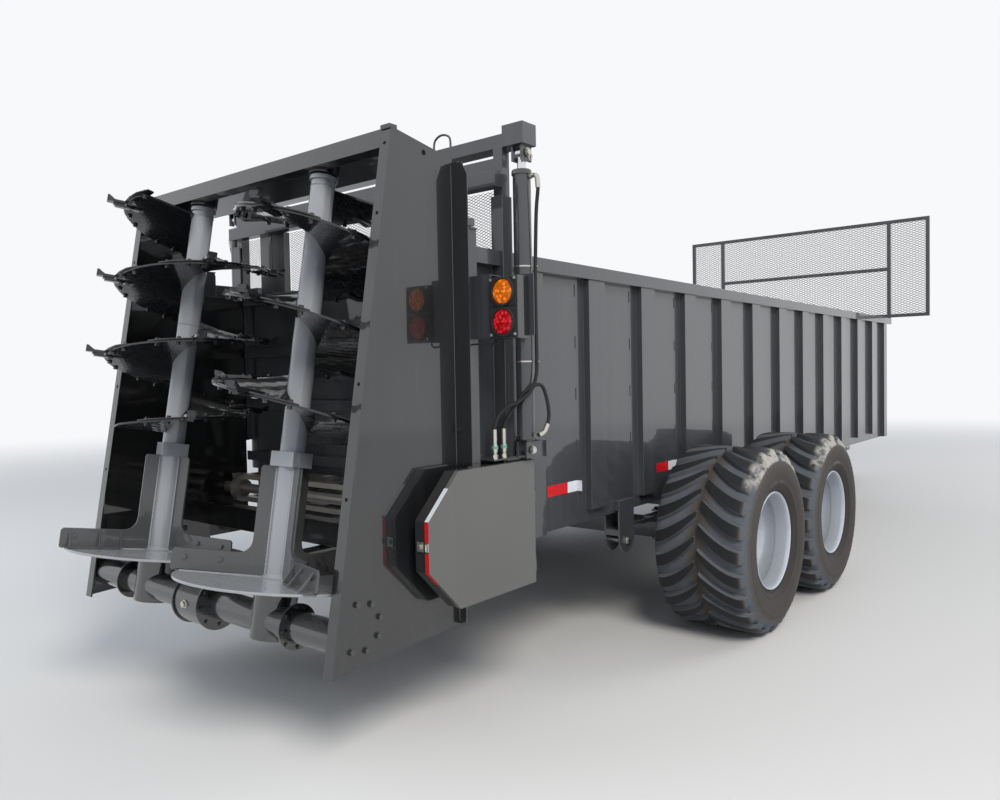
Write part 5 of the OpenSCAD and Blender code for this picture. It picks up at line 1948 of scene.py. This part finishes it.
@dataclass
class ExpandedMetal:
    """Panels of expanded metal: over the front wall and in the gate's windows."""

    cell_y: float = 66.0
    cell_z: float = 29.0
    strand: float = 4.0
    wire: float = 3.2

    def panel(self, x: float, low: tuple[float, float], high: tuple[float, float],
              fine: float = 1.0) -> Mesh:
        """Fills a rectangle with whole diamonds.

        Args:
            x: The panel's station.
            low: Its low corner as Y and Z.
            high: Its high corner as Y and Z.
            fine: The share of the usual size that its diamonds have.

        Returns:
            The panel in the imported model's metres.
        """
        across, up = high[0] - low[0], high[1] - low[1]
        n, m = round(across / self.cell_y / fine), round(up / self.cell_z / fine)
        a, b = across / n, up / m
        shape = Shape()
        for slope in (1, -1):
            lift = Matrix.Translation((x, a / 2, b / 2))
            tilt = Matrix.Rotation(math.atan2(slope * b, a), 4, "X") @ Matrix.Rotation(0.5, 4, "Y")
            half = math.hypot(a, b) / 2
            w, t = self.wire * fine / 2, self.strand * fine / 2
            shape.slab([(-w, -half), (w, -half), (w, half), (-w, half)], -t, t, lift @ tilt)
        mesh = REPEAT.run(shape.plain(), SCREEN, n, (0, a, 0), 0.0, m, (0, 0, b))
        return settled(mesh, Matrix.Translation((0, low[0], low[1])))

    def build(self) -> None:
        """Builds every panel."""
        x = 6010.0
        panels = [((1105, 2285), (1500, 3410)), ((-1500, 2285), (-1105, 3410)),
                  ((-1065, 2285), (1065, 2830)), ((-1065, 2870), (1065, 3410))]
        for i, (low, high) in enumerate(panels):
            finish_object(self.panel(x, low, high), f"spill_screen_panel_{i}", SCREEN, body_of("screen_mesh"),
                          ["screen_mesh"] if i == 0 else [])
        for i, (low, high) in enumerate([((-600, 2162), (600, 2540)), ((845, 2162), (1066, 2540)),
                                         ((-1066, 2162), (-845, 2540))]):
            window = self.panel(-1765, low, high, 0.5)
            finish_object(window, f"gate_window_{i}", SCREEN, body_of("gate_panel"))
        rounded_copy("screen_frame", SCREEN, 3.0)


# Studio


@dataclass(frozen=True)
class SoftLamp:
    """A round lamp that the machine doesn't mirror."""

    name: str
    at: Point
    size: float
    watts: float
    colour: Colour
    aim: Point = (0, 0, 1)

    def hang(self) -> None:
        """Hangs the lamp so that it looks at the machine."""
        data = bpy.data.lights.new(self.name, "AREA")
        data.shape = "DISK"
        data.size = self.size
        data.energy = self.watts
        data.color = self.colour
        lamp = linked(self.name, data)
        lamp.visible_glossy = False
        lamp.location = self.at
        lamp.rotation_euler = (Vector(self.aim) - Vector(self.at)).to_track_quat("-Z", "Y").to_euler()


@dataclass
class Studio:
    """The floor, the backdrop, the lamps and the camera."""

    floor_size: float = 120.0
    floor_colour: Colour = (0.62, 0.62, 0.61)
    fade: tuple[float, float] = (6.0, 22.0)
    backdrop: Colour = (0.93, 0.945, 0.965)
    sky: Colour = (0.82, 0.88, 1.0)
    sky_strength: float = 0.55
    lamps: tuple[SoftLamp, ...] = (
        SoftLamp("key_lamp", (-9.0, -9.0, 10.0), 6.0, 1500.0, (1.0, 0.96, 0.9)),
        SoftLamp("fill_lamp", (-10.0, 7.0, 7.0), 8.0, 500.0, (0.9, 0.95, 1.0)),
        SoftLamp("front_lamp", (9.0, -8.0, 8.0), 7.0, 700.0, (1.0, 0.98, 0.95)))
    focal_mm: float = 28.76
    eye: Point = (-4872.0, -3550.0, 1637.0)
    turn: float = 38.7616
    down: float = 1.894
    roll: float = -1.076
    sensor_mm: float = 36.0
    sight: float = 300.0

    def build(self) -> None:
        """Builds the whole studio."""
        self.lay_floor()
        self.light()
        self.aim_camera()

    def lay_floor(self) -> None:
        """Lays a pale floor that keeps the machine's shadow."""
        half = self.floor_size / 2
        mesh = bpy.data.meshes.new("floor_sheet")
        corners = [(-half, -half, 0), (half, -half, 0), (half, half, 0), (-half, half, 0)]
        mesh.from_pydata(corners, [], [(0, 1, 2, 3)])
        floor = linked("studio_floor", mesh)
        graph = Graph("studio_floor_paint")
        graph.surface({"Base Color": self.floor_colour, "Roughness": 0.9})
        far = (graph.coordinate(Axis.X) ** 2.0 + graph.coordinate(Axis.Y) ** 2.0) ** 0.5
        share = far.step(*self.fade) * graph.looked_at()
        glow = graph.node("ShaderNodeEmission", {}, {"Color": self.backdrop, "Strength": 1.0})
        blend = graph.node("ShaderNodeMixShader", {}, {
            0: share, 1: graph.shader.outputs[0], 2: glow.outputs[0]})
        graph.join(blend.outputs[0], graph.output.inputs[0])
        mesh.materials.append(graph.material)

    def light(self) -> None:
        """Hangs the lamps and colours the world."""
        world = bpy.data.worlds.new("studio_world")
        bpy.context.scene.world = world
        world.use_nodes = True
        world.node_tree.nodes.clear()
        tree = Tree(world.node_tree)
        sky = tree.node("ShaderNodeBackground", {}, {"Color": self.sky, "Strength": self.sky_strength})
        white = tree.node("ShaderNodeBackground", {}, {"Color": self.backdrop, "Strength": 1.0})
        mix = tree.node("ShaderNodeMixShader", {}, {
            0: tree.looked_at(), 1: sky.outputs[0], 2: white.outputs[0]})
        tree.node("ShaderNodeOutputWorld", {}, {0: mix.outputs[0]})
        for lamp in self.lamps:
            lamp.hang()

    def aim_camera(self) -> None:
        """Sets the camera at the photograph's place and angle."""
        yaw, pitch, roll = (math.radians(a) for a in (self.turn, self.down, self.roll))
        ahead = Vector((math.cos(yaw) * math.cos(pitch), math.sin(yaw) * math.cos(pitch), -math.sin(pitch)))
        level = Vector((math.sin(yaw), -math.cos(yaw), 0.0))
        above = level.cross(ahead)
        right = math.cos(roll) * level + math.sin(roll) * above
        up = -math.sin(roll) * level + math.cos(roll) * above
        data = bpy.data.cameras.new("photo_camera")
        data.lens = self.focal_mm
        data.sensor_width = self.sensor_mm
        data.clip_end = self.sight
        camera = linked("photo_camera", data)
        turn = Matrix((right, up, -ahead)).transposed().to_4x4()
        camera.matrix_world = Matrix.Translation(metres(self.eye)) @ turn
        bpy.context.scene.camera = camera


def main() -> None:
    """Builds every piece in order."""
    logging.basicConfig(level=logging.INFO, format="%(message)s")
    bpy.context.scene.view_settings.view_transform = "Standard"
    wheels = [Wheel(f"{side.name.lower()}_{end}", side) for side in Side for end in ("rear", "front")]
    rotors = [Rotor(Side.LEFT, turn=165.0), Rotor(Side.RIGHT, turn=-12.0)]
    for piece in (Studio(), *wheels, *rotors, BeaterHousing(), GearTrain(), DriveGuard(), BoxBody(),
                  RearFrame(), Gate(), GateCylinders(), Lamps(), Suspension(), Apron(), Front(),
                  ExpandedMetal()):
        piece.build()
        LOG.info("built %s", type(piece).__name__)


if __name__ == "__main__":
    main()
